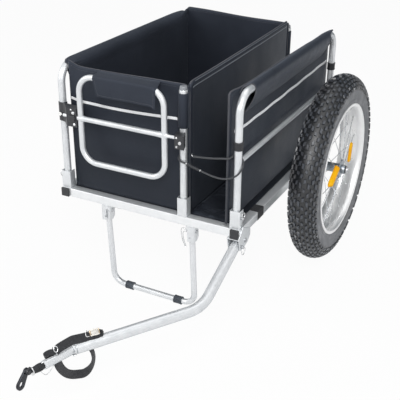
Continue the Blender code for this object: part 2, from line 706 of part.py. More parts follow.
def build_side_panel(side, word):
    """A padded side wall inside the posts, with a flap folded over the hoop's bar."""
    outer = POST_X - POST_RADIUS - PANEL_BESIDE_POST
    inner = outer - SIDE_PANEL_THICKNESS
    bore = POST_RADIUS + SLIDE_GAP
    fold = bore + FLAP_THICKNESS
    bar = (POST_X, HOOP_HEIGHT)
    low_outside = HOOP_HEIGHT - FLAP_DROP
    outline = [(outer, SIDE_PANEL_LOW), (outer, HOOP_HEIGHT)] + arc(bar, bore, 180, 0, 8)
    outline += [(POST_X + bore, low_outside), (POST_X + fold, low_outside)] + arc(bar, fold, 0, 112.5, 5)
    outline += [(outer, SIDE_PANEL_HIGH), (inner, SIDE_PANEL_HIGH), (inner, SIDE_PANEL_LOW)]
    outline = [(side * x, RAIL_TOP_Z + z) for x, z in outline]
    clear = HOOP_BEND + GAP
    top = add_prism(f"panel_{word}", outline, "y", FRONT_Y + FRONT_POST_Y + clear,
                    FRONT_Y + REAR_POST_Y - clear, DARK_FABRIC)
    left, right = sorted((side * inner, side * outer))
    between_walls = POST_RADIUS + PANEL_BEHIND_POST + PANEL_THICKNESS + GAP
    from_post = between_walls if side < 0 else -SIDE_PANEL_PAST_POST
    wall = add_box(f"panel_{word}_wall", place(left, FRONT_POST_Y + from_post, SIDE_PANEL_LOW),
                   place(right, REAR_POST_Y - from_post, SIDE_PANEL_HIGH), DARK_FABRIC)
    return weld(top, wall)


def build_end_panel(name, post_y, opens, height, sleeve):
    """The front or rear wall of the wide bay, from the left posts to the middle post."""
    near = post_y + opens * (POST_RADIUS + PANEL_BEHIND_POST)
    far = near + opens * PANEL_THICKNESS
    front, back = sorted((near, far))
    left = PANEL_THICKNESS / 2 - POST_X + POST_RADIUS
    right = MIDDLE_X + POST_RADIUS
    panel = add_box(name, place(left, front, GAP), place(right, back, height), DARK_FABRIC)
    if not sleeve:
        return panel
    low, high = sleeve
    bore = POST_RADIUS + SLIDE_GAP
    wrap = add_rod(name + "_sleeve", place(MIDDLE_X, post_y, low), place(MIDDLE_X, post_y, high),
                   bore + SLEEVE_THICKNESS, DARK_FABRIC, inner=bore)
    return weld(panel, wrap)


def build_panels():
    for side, word in ((-1, "left"), (1, "right")):
        build_side_panel(side, word)
    sleeve = (SLEEVE_LOW, MIDDLE_POST_HEIGHT - FERRULE_HEIGHT - GAP)
    build_end_panel("panel_front", FRONT_POST_Y, 1, FRONT_PANEL_HEIGHT, sleeve)
    build_end_panel("panel_rear", REAR_POST_Y, -1, REAR_PANEL_HEIGHT, sleeve)
    wall_front = FRONT_POST_Y + POST_RADIUS + PANEL_BEHIND_POST + PANEL_THICKNESS + GAP
    wall_back = REAR_POST_Y - POST_RADIUS - PANEL_BEHIND_POST - PANEL_THICKNESS - GAP
    right = MIDDLE_X + POST_RADIUS
    add_box("panel_divider", place(right - DIVIDER_THICKNESS, wall_front, GAP),
            place(right, wall_back, DIVIDER_HEIGHT), DARK_FABRIC)


def build_support_frame():
    """A closed loop of tube with a cross bar, whose thin ends sit in clamps on two posts."""
    back = FRONT_POST_Y - SUPPORT_AHEAD_OF_POST
    corners = [place(SUPPORT_LEFT, back, SUPPORT_LOW), place(SUPPORT_LEFT, back, SUPPORT_HIGH),
               place(SUPPORT_RIGHT, back, SUPPORT_HIGH), place(SUPPORT_RIGHT, back, SUPPORT_LOW)]
    loop = add_tube("support_frame", rounded(corners, SUPPORT_CORNER, closed=True), SUPPORT_RADIUS,
                    SILVER, closed=True, side_way=(0, 1, 0))
    stops = [CLAMP_STUB_END - POST_X, SUPPORT_LEFT - SUPPORT_RADIUS, SUPPORT_LEFT, SUPPORT_RIGHT,
             SUPPORT_RIGHT + SUPPORT_RADIUS, MIDDLE_X]
    radii = [STUB_RADIUS] * 2 + [CROSS_BAR_RADIUS] * 2 + [STUB_RADIUS] * 2
    bar = add_tube("support_cross_bar", [place(x, back, CROSS_BAR_HEIGHT) for x in stops], radii,
                   SILVER, side_way=(0, 1, 0))
    return weld(loop, bar)


def build_clamp(name, post_x, inward, outline, low, high, bolt_x, knob_x, stub_end):
    """A plastic block that hugs a post and reaches forward to hold one end of the cross bar."""
    points = [(post_x + inward * x, FRONT_Y + FRONT_POST_Y + y) for x, y in outline]
    block = add_prism(name, points, "z", RAIL_TOP_Z + low, RAIL_TOP_Z + high, BLACK_PLASTIC)
    bore = POST_RADIUS + SLIDE_GAP
    slot = add_rod(name + "_bore", place(post_x, FRONT_POST_Y, low - GAP),
                   place(post_x, FRONT_POST_Y, high + GAP), bore, BLACK_PLASTIC)
    mouth = add_box(name + "_mouth", place(post_x - bore, FRONT_POST_Y, low - GAP),
                    place(post_x + bore, FRONT_POST_Y + 2 * CLAMP_BACK, high + GAP), BLACK_PLASTIC)
    bar_back = FRONT_POST_Y - SUPPORT_AHEAD_OF_POST
    stub = add_rod(name + "_stub_bore", place(stub_end - inward * GAP, bar_back, CROSS_BAR_HEIGHT),
                   place(post_x + inward * 3 * CLAMP_FRONT, bar_back, CROSS_BAR_HEIGHT),
                   STUB_RADIUS + GAP, BLACK_PLASTIC)
    cut(block, slot, mouth, stub)
    face = FRONT_POST_Y - CLAMP_FRONT
    forward = Vector((0, -CLAMP_KNOB_HEIGHT, 0))
    for word, up in (("upper", high - CLAMP_BOLT_FROM_EDGE), ("lower", low + CLAMP_BOLT_FROM_EDGE)):
        start = place(bolt_x, face + GAP, up)
        end = start + forward / 2
        weld(block, add_rod(f"{name}_{word}_bolt", start, end, CLAMP_BOLT_RADIUS, STEEL, sides=6))
    start = place(knob_x, face + GAP, (low + high) / 2)
    return weld(block, add_rod(name + "_knob", start, start + forward, CLAMP_KNOB_RADIUS, STEEL))


def build_clamps():
    """The left clamp takes the place of a hoop collar. The middle one stands right ahead of its post."""
    wrap, back, front = CLAMP_WRAP, CLAMP_BACK, -CLAMP_FRONT
    start, end = LEFT_CLAMP_NOSE
    shoulder = -LEFT_CLAMP_SHOULDER
    left = [(-wrap, back), (-wrap, shoulder), (start, front), (end, front), (end, shoulder),
            (wrap, shoulder), (wrap, back)]
    start, end = MIDDLE_CLAMP_NOSE
    shoulder = -MIDDLE_CLAMP_SHOULDER
    middle = [(-wrap, back), (-wrap, shoulder), (start, front), (end, front), (wrap, shoulder), (wrap, back)]
    build_clamp("support_clamp_left", -POST_X, 1, left, LEFT_CLAMP_LOW, LEFT_CLAMP_HIGH,
                LEFT_CLAMP_BOLT - POST_X, LEFT_CLAMP_KNOB - POST_X, CLAMP_STUB_END - POST_X)
    build_clamp("support_clamp_middle", MIDDLE_X, -1, middle, MIDDLE_CLAMP_LOW, MIDDLE_CLAMP_HIGH,
                MIDDLE_X + MIDDLE_CLAMP_BOLT, MIDDLE_X + MIDDLE_CLAMP_KNOB, MIDDLE_X)


def build_bungee():
    """An elastic cord that hooks the middle post, runs to the right post, round it and back."""
    near, wrap = FRONT_POST_Y, POST_RADIUS + CORD_RADIUS + CORD_CLEARANCE
    slant = wrap * sin(pi / 4)
    route = [
        place(MIDDLE_X - slant, near + slant, 0.171), place(MIDDLE_X - wrap, near, 0.168),
        place(MIDDLE_X - slant, near - slant, 0.164), place(MIDDLE_X, near - wrap, 0.160),
        place(MIDDLE_X + 0.016, near - 0.0115, 0.1555), place(MIDDLE_X + 0.040, near - 0.0110, 0.1490),
        place(MIDDLE_X + 0.070, near - 0.0130, 0.1425), place(MIDDLE_X + 0.095, near - 0.0160, 0.1390),
        place(MIDDLE_X + 0.120, near - 0.0190, 0.1400), place(POST_X - 0.014, near - 0.0185, 0.1450),
        place(POST_X, near - wrap, 0.1520), place(POST_X + slant, near - slant, 0.1620),
        place(POST_X + wrap, near, 0.1750), place(POST_X + slant, near + slant, 0.1880),
        place(POST_X, near + wrap, 0.1955), place(POST_X - slant, near + slant, 0.1985),
        place(POST_X - wrap, near, 0.2000), place(POST_X - 0.0137, near - 0.0110, 0.1997),
        place(POST_X - 0.0146, near - 0.0172, 0.1990), place(POST_X - 0.0195, near - 0.0194, 0.1982),
        place(POST_X - 0.034, near - 0.0205, 0.1960),
        place(POST_X - 0.060, near - 0.0190, 0.1905), place(POST_X - 0.087, near - 0.0130, 0.1845),
        place(POST_X - 0.112, near - 0.0060, 0.1790),
    ]
    curve = bpy.data.curves.new("bungee_cord", "CURVE")
    curve.dimensions = "3D"
    curve.bevel_depth = CORD_RADIUS
    curve.bevel_resolution = 2
    curve.use_fill_caps = True
    points = smooth_path(route, CORD_POINTS)
    spline = curve.splines.new("POLY")
    spline.points.add(len(points) - 1)
    for spline_point, point in zip(spline.points, points):
        spline_point.co = (*point, 1)
    cord = bpy.data.objects.new("bungee_cord", curve)
    bpy.context.scene.collection.objects.link(cord)
    dress(cord, BLACK_RUBBER)
    way = (points[-1] - points[-2]).normalized()
    start = points[-1] + way * GAP
    tip = HOOK_RADIUS * 0.7
    profile = [(0, tip), (HOOK_TAPER, HOOK_RADIUS), (HOOK_LENGTH - HOOK_TAPER, HOOK_RADIUS),
               (HOOK_LENGTH, tip)]
    add_turned("cord_hook", profile, start, way, STEEL)


def stand_point(x, share):
    """A point of a stand leg, from its pivot at 0 to the bottom bar at 1."""
    bar_up = FOOT_RADIUS * cos(pi / SIDES) - RAIL_TOP_Z
    back = STAND_PIVOT_BACK + (STAND_FOOT_BACK - STAND_PIVOT_BACK) * share
    up = -STAND_PIVOT_DROP + (bar_up + STAND_PIVOT_DROP) * share
    return place(x, back, up)


def build_stand():
    """The U-shaped prop under the front rail, with its feet, brackets, bolts and release lever."""
    rise = (stand_point(0, 0) - stand_point(0, 1)).normalized() * STAND_TOP
    corners = [stand_point(-STAND_LEG, 0) + rise, stand_point(-STAND_LEG, 1),
               stand_point(STAND_LEG, 1), stand_point(STAND_LEG, 0) + rise]
    stand = add_tube("stand_frame", rounded(corners, STAND_CORNER), STAND_RADIUS, SILVER)
    pieces = [stand]
    pivot = place(0, STAND_PIVOT_BACK, -STAND_PIVOT_DROP)
    for side, word in ((-1, "left"), (1, "right")):
        build_stand_bracket(side, word, stand)
    for word, x in (("left", FOOT_LEFT), ("right", FOOT_RIGHT)):
        bore = STAND_RADIUS + GAP
        pieces.append(add_rod("stand_foot_" + word, stand_point(x - FOOT_WIDTH / 2, 1),
                              stand_point(x + FOOT_WIDTH / 2, 1), FOOT_RADIUS, BLACK_RUBBER, inner=bore))
    hang_on("stand_axis", pivot, *pieces)
    build_stand_lever()


def build_stand_bracket(side, word, stand):
    """A channel under the front rail, closed at the front, and the bolt that a leg turns on."""
    x, half = side * STAND_LEG, STAND_BRACKET_WIDTH / 2
    front = RAIL_FRONT + GAP
    back = front + STAND_BRACKET_DEPTH
    inner = half - BRACKET_WALL
    outline = [(x - half, front), (x + half, front), (x + half, back), (x + inner, back),
               (x + inner, front + BRACKET_WALL), (x - inner, front + BRACKET_WALL), (x - inner, back),
               (x - half, back)]
    outline = [(right, FRONT_Y + y) for right, y in outline]
    low = -RAIL - GAP - STAND_BRACKET_HEIGHT
    bracket = add_prism("stand_bracket_" + word, outline, "z", RAIL_TOP_Z + low,
                        RAIL_TOP_Z - RAIL - GAP, SILVER)
    head = BOLT_HEAD_HEIGHT
    start = place(x - half - head, STAND_PIVOT_BACK, -STAND_PIVOT_DROP)
    end = place(x + half + head, STAND_PIVOT_BACK, -STAND_PIVOT_DROP)
    cut(bracket, add_rod(f"stand_bracket_{word}_hole", start, end, BOLT_RADIUS + SLIDE_GAP, SILVER))
    cut(stand, add_rod(f"stand_{word}_hole", start, end, BOLT_RADIUS + SLIDE_GAP, SILVER))
    length = (end - start).length
    profile = [(0, BOLT_HEAD_RADIUS), (head - GAP, BOLT_HEAD_RADIUS), (head - GAP, BOLT_RADIUS),
               (length - head + GAP, BOLT_RADIUS), (length - head + GAP, BOLT_HEAD_RADIUS),
               (length, BOLT_HEAD_RADIUS)]
    add_turned("stand_bolt_" + word, profile, start, Vector((1, 0, 0)), STEEL)


def build_stand_lever():
    """A flat spring lever beside the right bracket, which frees the stand when it is pressed."""
    side_x = STAND_LEG - STAND_BRACKET_WIDTH / 2 - BOLT_HEAD_HEIGHT - GAP
    low_x = side_x - LEVER_STAND_OFF
    outline = [(side_x, 0), (side_x, -LEVER_BEND_START), (low_x, -LEVER_BEND_END), (low_x, -LEVER_LENGTH)]
    outline += [(x - LEVER_THICKNESS, z) for x, z in reversed(outline)]
    top = -STAND_PIVOT_DROP - BOLT_HEAD_RADIUS
    middle = STAND_PIVOT_BACK
    lever = add_prism("stand_lever", [(x, RAIL_TOP_Z + top + z) for x, z in outline], "y",
                      FRONT_Y + middle - LEVER_WIDTH / 2, FRONT_Y + middle + LEVER_WIDTH / 2, STEEL)
    axis_up = top - BOLT_RADIUS
    stub = add_rod("stand_lever_stub", place(side_x - LEVER_THICKNESS / 2, middle, axis_up),
                   place(STAND_LEG - STAND_BRACKET_WIDTH / 2 - GAP, middle, axis_up),
                   BOLT_RADIUS * 0.8, STEEL)
    weld(lever, stub)
    hang_on("stand_lever_axis", place(side_x, middle, axis_up), lever)


def build_arm_bracket():
    """An inverted channel under the right rail's front, with the arm's pivot bolt."""
    outer_low, outer_high = HALF_WIDTH + GAP, HALF_WIDTH + GAP + CHEEK
    inner_high = ARM_X - ARM_RADIUS - ARM_SIDE_GAP
    back = ARM_PIVOT_BACK + ARM_BRACKET_BEHIND_PIVOT
    front = RAIL_FRONT - ARM_BRACKET_AHEAD_OF_RAIL
    under = -RAIL - GAP
    lap = CHEEK_LAP - RAIL
    low_edge = [(ARM_PIVOT_BACK + y, z - ARM_PIVOT_DROP) for y, z in CHEEK_LOW_EDGE]
    outer = [(front, lap), (CHEEK_PEAK_BACK, CHEEK_PEAK_UP), (back, lap)] + low_edge
    inner = [(front, under), (back, under)] + low_edge
    bracket = add_prism("arm_bracket", [(FRONT_Y + y, RAIL_TOP_Z + z) for y, z in outer], "x",
                        outer_low, outer_high, SILVER)
    cheek = add_prism("arm_bracket_inner", [(FRONT_Y + y, RAIL_TOP_Z + z) for y, z in inner], "x",
                      inner_high - CHEEK, inner_high, SILVER)
    roof = add_box("arm_bracket_roof", place(inner_high - CHEEK / 2, front, under - ARM_BRACKET_ROOF),
                   place(outer_high - CHEEK / 2, back, under), SILVER)
    head = BOLT_HEAD_HEIGHT
    bolt = add_rod("arm_bolt", place(inner_high - CHEEK - head, ARM_PIVOT_BACK, -ARM_PIVOT_DROP),
                   place(outer_high + head, ARM_PIVOT_BACK, -ARM_PIVOT_DROP), ARM_PIVOT_RADIUS, STEEL)
    weld(bracket, roof, cheek, bolt)
    lock = lock_place()
    hole = add_rod("arm_lock_hole", place(ARM_X + ARM_RADIUS, lock.x, lock.y),
                   place(outer_high + CHEEK, lock.x, lock.y), PIN_RADIUS + GAP, SILVER)
    return cut(bracket, hole)


def arm_slope():
    """The first section's direction in the side view, as (back, up)."""
    return Vector((ARM_BEND_BACK - ARM_PIVOT_BACK, ARM_PIVOT_DROP - ARM_LEVEL_DROP)).normalized()


def lock_place():
    """Where the lock pin crosses the arm, as (back, up)."""
    return Vector((ARM_PIVOT_BACK, -ARM_PIVOT_DROP)) + arm_slope() * LOCK_FROM_PIVOT


def arm_path():
    """The middle of the arm's thick part, from its pivot through the bend to the slim part."""
    pivot = place(ARM_X, ARM_PIVOT_BACK, -ARM_PIVOT_DROP)
    bend = place(ARM_X, ARM_BEND_BACK, -ARM_LEVEL_DROP)
    slim_start = place(ARM_SLIM_START.x, ARM_SLIM_START.y, -ARM_LEVEL_DROP)
    return rounded([pivot, bend, slim_start], ARM_BEND_RADIUS)


def arm_side_way():
    """The sideways direction of the arm's rings on its level section, for what is bound round it."""
    across = Vector((1, 0, 0))
    path = arm_path()
    for way in directions_along(path, False):
        across = (across - way * across.dot(way)).normalized()
    return across


def build_tow_arm():
    """The bent tube from the right rail to the hitch, thinner at its front end."""
    path = arm_path()
    pivot = path[0]
    end = place(ARM_END.x, ARM_END.y, -ARM_LEVEL_DROP)
    points = path + [path[-1], end]
    outer = [ARM_RADIUS] * len(path) + [ARM_SLIM_RADIUS] * 2
    inner = [ARM_RADIUS - ARM_WALL] * (len(path) - 1) + [ARM_SLIM_RADIUS - ARM_WALL] * 3
    arm = add_tube("tow_arm", points, outer, SILVER, inner=inner)
    reach = Vector((ARM_RADIUS * cos(pi / SIDES), 0, 0))
    eye = add_rod("tow_arm_eye", pivot - reach, pivot + reach, ARM_RADIUS, SILVER, sides=2 * SIDES)
    bore = add_rod("tow_arm_bore", pivot - 2 * reach, pivot + 2 * reach, ARM_PIVOT_RADIUS + SLIDE_GAP,
                   SILVER)
    lock = lock_place()
    hole = add_rod("tow_arm_lock_bore", place(ARM_X, lock.x, lock.y),
                   place(ARM_X + 2 * ARM_RADIUS, lock.x, lock.y), PIN_RADIUS + GAP, SILVER)
    weld(arm, eye)
    return cut(arm, bore, hole)


def build_lock_pin():
    """The spring plunger that holds the arm out, with its pull ring. Its tip stops short of the arm."""
    lock = lock_place()
    way = Vector((1, 0, 0))
    outside = place(HALF_WIDTH + CHEEK + 2 * GAP, lock.x, lock.y)
    tip = -(CHEEK + GAP)
    profile = [(tip, PIN_RADIUS), (0, PIN_RADIUS), (0, PIN_HEAD_RADIUS), (PIN_HEAD_LENGTH, PIN_HEAD_RADIUS)]
    pin = add_turned("arm_lock_pin", profile, outside, way, STEEL)
    weld(pin, add_pull_ring("arm_lock_pin_ring", outside + way * (PIN_HEAD_LENGTH - PIN_RING_WIRE), way))
    hang_on("arm_lock_axis", outside, pin)


def build_hitch():
    """The swivelling coupling at the arm's end and the flat eye that bolts to a bicycle's axle."""
    up = -ARM_LEVEL_DROP
    ball = place(BALL_CENTRE.x, BALL_CENTRE.y, up)
    way = Vector((ARM_AHEAD.x, ARM_AHEAD.y, 0))
    profile = [(along, radius) for radius, along in arc((0, 0), BALL_RADIUS, -75, 0, 3)]
    profile += [(COUPLING_TAPER_START, BALL_RADIUS), (COUPLING_LENGTH, COUPLING_TAPER_RADIUS),
                (COUPLING_LENGTH, WASHER_RADIUS), (COUPLING_LENGTH + WASHER_THICKNESS, WASHER_RADIUS)]
    coupling = add_turned("hitch_coupling", profile, ball, way, BLACK_RUBBER)
    pivot = place(EYE_PIVOT.x, EYE_PIVOT.y, up + EYE_PIVOT_RISE)
    half = TONGUE_THICKNESS / 2
    washer = COUPLING_LENGTH + WASHER_THICKNESS / 2
    tongue_back = ball.y + way.y * washer
    tongue = arc((pivot.y, pivot.z), TONGUE_RADIUS, 90, 270, 8)
    tongue += [(tongue_back, pivot.z - TONGUE_RADIUS), (tongue_back, pivot.z + TONGUE_RADIUS)]
    tongue = add_prism("hitch_tongue", tongue, "x", pivot.x - half, pivot.x + half, BLACK_PLASTIC)
    bore = add_rod("hitch_tongue_bore", pivot - Vector((2 * half, 0, 0)), pivot + Vector((2 * half, 0, 0)),
                   EYE_PIVOT_RADIUS + SLIDE_GAP, BLACK_PLASTIC)
    weld(coupling, tongue)
    cut(coupling, bore)
    eye = build_hitch_eye(pivot, half)
    return coupling, eye, ball, pivot


def build_hitch_eye(pivot, half):
    hole = pivot + Vector((0, -cos(EYE_HANG), -sin(EYE_HANG))) * EYE_REACH
    turn = 180 + EYE_HANG * 180 / pi
    outline = arc((hole.y, hole.z), EYE_RADIUS, turn - 80, turn + 80, 12)
    outline += arc((pivot.y, pivot.z), EYE_BACK_RADIUS, turn - 260, turn - 100, 8)
    plate_high = pivot.x - half - GAP
    eye = add_prism("hitch_eye", outline, "x", plate_high - EYE_THICKNESS, plate_high, STEEL)
    reach = Vector((2 * EYE_THICKNESS + half, 0, 0))
    cut(eye, add_rod("hitch_eye_hole", hole - reach, hole + reach, EYE_HOLE_RADIUS, STEEL, sides=2 * SIDES))
    head = BOLT_HEAD_HEIGHT
    profile = [(half + GAP + head, BOLT_HEAD_RADIUS), (half + GAP, BOLT_HEAD_RADIUS),
               (half + GAP, EYE_PIVOT_RADIUS), (-half - EYE_THICKNESS, EYE_PIVOT_RADIUS),
               (-half - EYE_THICKNESS - head, EYE_PIVOT_RADIUS)]
    return weld(eye, add_turned("hitch_eye_pin", profile, pivot, Vector((1, 0, 0)), STEEL))


def strap_point(along, up):
    """A point in the upright plane of the arm's level section: distance behind the slim part, and height."""
    bend = Vector((ARM_X, ARM_BEND_BACK))
    way = (bend - ARM_SLIM_START).normalized()
    if along < 0:
        way = -ARM_AHEAD
    flat = ARM_SLIM_START + way * along
    return place(flat.x, flat.y, up - ARM_LEVEL_DROP)


def add_ribbon(name, points, width, thickness, look):
    """A flat strap along a path in an upright plane, its width level."""
    rings = []
    for point, way in zip(points, directions_along(points, False)):
        level = way.cross(Vector((0, 0, 1)))
        if level.length < 1e-3:
            level = Vector((-ARM_AHEAD.y, ARM_AHEAD.x, 0))
        level = level.normalized()
        if rings and level.dot(before) < 0:
            level = -level
        before = level
        face = way.cross(level).normalized() * thickness / 2
        edge = level * width / 2
        rings.append([point + edge + face, point - edge + face, point - edge - face, point + edge - face])
    return skin(name, rings, look)


def build_strap():
    """Webbing bound round the arm in two places, with a slack loop that hangs below."""
    half = STRAP_WIDTH / 2
    rear_bore = ARM_RADIUS + GAP
    rear = add_tube("safety_strap", [strap_point(STRAP_BACK + half, 0), strap_point(STRAP_BACK - half, 0)],
                    rear_bore + STRAP_THICKNESS, BLACK_WEBBING, inner=rear_bore, side_way=arm_side_way())
    front_bore = ARM_SLIM_RADIUS + GAP
    block = STRAP_FRONT
    front_ends = [strap_point(block + STRAP_FRONT_BLOCK, 0), strap_point(block - STRAP_FRONT_BLOCK, 0)]
    front = add_tube("safety_strap_front", front_ends, front_bore + 2 * STRAP_THICKNESS, BLACK_WEBBING,
                     inner=front_bore, side_way=arm_side_way())
    top = ARM_RADIUS + GAP + STRAP_THICKNESS / 2
    top_path = [strap_point(STRAP_BACK + half, top), strap_point(STRAP_TOP_BEND, top),
                strap_point(block + half, ARM_SLIM_RADIUS + 1.5 * STRAP_THICKNESS)]
    under = [strap_point(block, -ARM_SLIM_RADIUS - STRAP_THICKNESS * 1.5)]
    under += [strap_point(along, up) for along, up in STRAP_LOOP]
    under += [strap_point(STRAP_BACK, -ARM_RADIUS - STRAP_THICKNESS * 0.8)]
    ribbon_top = add_ribbon("strap_top", top_path, STRAP_WIDTH, STRAP_THICKNESS, BLACK_WEBBING)
    slack = smooth_path(under, STRAP_POINTS)
    ribbon_low = add_ribbon("strap_loop", slack, STRAP_WIDTH, STRAP_THICKNESS, BLACK_WEBBING)
    weld(rear, ribbon_top, front, ribbon_low)
    lift = ARM_RADIUS + 2 * GAP + STRAP_THICKNESS
    buckle_path = [strap_point(STRAP_BACK - BUCKLE_LENGTH / 2, lift + BUCKLE_HEIGHT / 2),
                   strap_point(STRAP_BACK + BUCKLE_LENGTH / 2, lift + BUCKLE_HEIGHT / 2)]
    buckle = add_ribbon("strap_buckle", buckle_path, STRAP_WIDTH * 1.2, BUCKLE_HEIGHT, BLACK_PLASTIC)
    return rear, buckle


def build_arm():
    arm = build_tow_arm()
    build_arm_bracket()
    build_lock_pin()
    coupling, eye, ball, eye_pivot = build_hitch()
    strap, buckle = build_strap()
    hang_on("arm_axis", place(ARM_X, ARM_PIVOT_BACK, -ARM_PIVOT_DROP), arm, strap, buckle)
    hang_on("coupling_axis", ball, coupling)
    hang_on("eye_axis", eye_pivot, eye)


def tyre_profile():
    """The tyre's closed section as (distance along the axle, radius)."""
    bead = RIM_RADIUS + 2 * GAP
    crown = TYRE_RADIUS - TYRE_HALF_WIDTH
    inner = TYRE_HALF_WIDTH - TYRE_SHELL
    outside = arc((0, crown), TYRE_HALF_WIDTH, 0, 180, 8)
    inside = arc((0, crown), inner, 180, 0, 4)
    lip = RIM_HALF_WIDTH - BEAD_INSET
    left = [(-lip, bead), (TYRE_SHELL - lip, bead)]
    return outside + left + inside + [(-x, radius) for x, radius in reversed(left)]


def rim_profile():
    half, lip = RIM_HALF_WIDTH, RIM_LIP
    well = RIM_RADIUS - RIM_WELL
    base = RIM_RADIUS - RIM_DEPTH
    right = [(half, base + RIM_SIDE), (half, RIM_RADIUS), (half - lip, RIM_RADIUS), (half - 2 * lip, well)]
    left = [(-x, radius) for x, radius in reversed(right)]
    return right + left + [(-half + RIM_BASE_INSET, base), (half - RIM_BASE_INSET, base)]


def hub_profile():
    bore = AXLE_RADIUS + SLIDE_GAP
    half, flange, plate = HUB_HALF_LENGTH, FLANGE_OFFSET, FLANGE_THICKNESS / 2
    slim = HUB_RADIUS * 0.75
    right = [(half, slim), (flange + plate, HUB_RADIUS), (flange + plate, FLANGE_RADIUS),
             (flange - plate, FLANGE_RADIUS), (flange - plate, HUB_RADIUS)]
    left = [(-x, radius) for x, radius in reversed(right)]
    return [(half, bore)] + right + left + [(-half, bore)]


def add_spokes(name, centre):
    """All spokes of a wheel as one mesh of separate rods, crossing clear of each other."""
    points, faces = [], []
    spoke_reach = (RIM_RADIUS - RIM_DEPTH) * cos(pi / WHEEL_SIDES) - SPOKE_RADIUS - GAP
    for i in range(SPOKES):
        side = 1 if i % 2 else -1
        lean = SPOKE_LEAN if i // 2 % 2 else -SPOKE_LEAN
        rim_angle = 2 * pi * i / SPOKES
        hub_angle = rim_angle + 2 * pi * lean / SPOKES
        cross = 1 if lean > 0 else -1
        hub_x = side * (FLANGE_OFFSET + cross * SPOKE_HUB_STAGGER)
        rim_x = side * (SPOKE_RIM_OFFSET + cross * SPOKE_RIM_STAGGER)
        hub_out = FLANGE_RADIUS - SPOKE_FROM_FLANGE_EDGE
        start = centre + Vector((hub_x, 0, 0)) + turned_out(hub_angle, hub_out)
        end = centre + Vector((rim_x, 0, 0)) + turned_out(rim_angle, spoke_reach)
        way = (end - start).normalized()
        across = way.cross(Vector((1, 0, 0))).normalized()
        base = len(points)
        for place_on in (start, end):
            points += ring_at(place_on, across, way.cross(across), SPOKE_RADIUS, 4)
        faces.append(tuple(range(base, base + 4)))
        faces.append(tuple(range(base + 4, base + 8)))
        faces += [(base + k, base + (k + 1) % 4, base + 4 + (k + 1) % 4, base + 4 + k) for k in range(4)]
    return add_mesh(name, points, faces, STEEL)


def turned_out(angle, radius):
    """A step from the axle in the wheel's plane."""
    return Vector((0, cos(angle), sin(angle))) * radius


def add_reflector(name, centre, length, tilt):
    """A flat capsule held on the outside of the outer spokes."""
    round_end = REFLECTOR_WIDTH / 2
    half = length / 2 - round_end
    outline = arc((half, 0), round_end, -90, 90, 6) + arc((-half, 0), round_end, 90, 270, 6)
    spin = Matrix.Rotation(radians(tilt), 2)
    flat = [spin @ Vector(pair) + Vector((centre.y, centre.z)) for pair in outline]
    return add_prism(name, [tuple(pair) for pair in flat], "x", centre.x - REFLECTOR_THICKNESS / 2,
                     centre.x + REFLECTOR_THICKNESS / 2, AMBER)


def build_wheel(side, word):
    """A fat tyre on a wide rim, its spoked hub, two reflectors, and the push-in axle it turns on."""
    centre = place(side * WHEEL_X, WHEEL_BACK, -RAIL / 2 - AXLE_DROP)
    way = Vector((side, 0, 0))
    tyre = add_turned("tyre_" + word, tyre_profile(), centre, way, TYRE_BLACK, closed=True,
                      sides=WHEEL_SIDES)
    rim = add_turned("rim_" + word, rim_profile(), centre, way, CHROME, closed=True, sides=WHEEL_SIDES)
    hub = add_turned("hub_" + word, hub_profile(), centre, way, STEEL, closed=True, sides=HUB_SIDES)
    weld(hub, add_spokes("spokes_" + word, centre))
    lights = []
    for number, (behind, above, length, tilt) in enumerate(REFLECTORS, 1):
        middle = centre + Vector((side * REFLECTOR_OFFSET, behind, above))
        lights.append(add_reflector(f"reflector_{word}_{number}", middle, length, tilt))
    build_axle(side, word)
    hang_on(f"wheel_{word}_axis", centre, tyre, rim, hub, *lights)


def build_axle(side, word):
    """The push-in axle: it enters the rail and the cross tube, and its shoulder spaces the hub."""
    rail_face = HALF_WIDTH + GAP
    hub_in, hub_out = WHEEL_X - HUB_HALF_LENGTH, WHEEL_X + HUB_HALF_LENGTH
    end = place(0, WHEEL_BACK, -RAIL / 2 - AXLE_DROP)
    profile = [(HALF_WIDTH - RAIL - AXLE_INSERT, AXLE_RADIUS), (rail_face, AXLE_RADIUS),
               (rail_face, AXLE_HEAD_RADIUS), (hub_in - GAP, AXLE_HEAD_RADIUS), (hub_in - GAP, AXLE_RADIUS),
               (hub_out + GAP, AXLE_RADIUS), (hub_out + GAP, AXLE_HEAD_RADIUS),
               (hub_out + GAP + AXLE_HEAD_LENGTH, AXLE_HEAD_RADIUS * 0.9)]
    add_turned("wheel_axle_" + word, profile, end, Vector((side, 0, 0)), STEEL)


def build_trailer():
    clear_scene()
    build_base()
    build_posts()
    build_panels()
    build_support_frame()
    build_clamps()
    build_bungee()
    build_stand()
    build_arm()
    for side, word in ((-1, "left"), (1, "right")):
        build_wheel(side, word)


build_trailer()
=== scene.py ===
"""The looks of a two-wheeled bicycle cargo trailer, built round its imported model.

Metres, +Z up. place() takes the distance right of the centre line, behind the front face of the rail
end caps, and above the rail tops. Left and right are as seen from the hitch, so right is +X.
"""

import json
from math import ceil, cos, exp, pi, radians, sin, sqrt, tan

import bmesh
import bpy
from mathutils import Matrix, Vector, noise


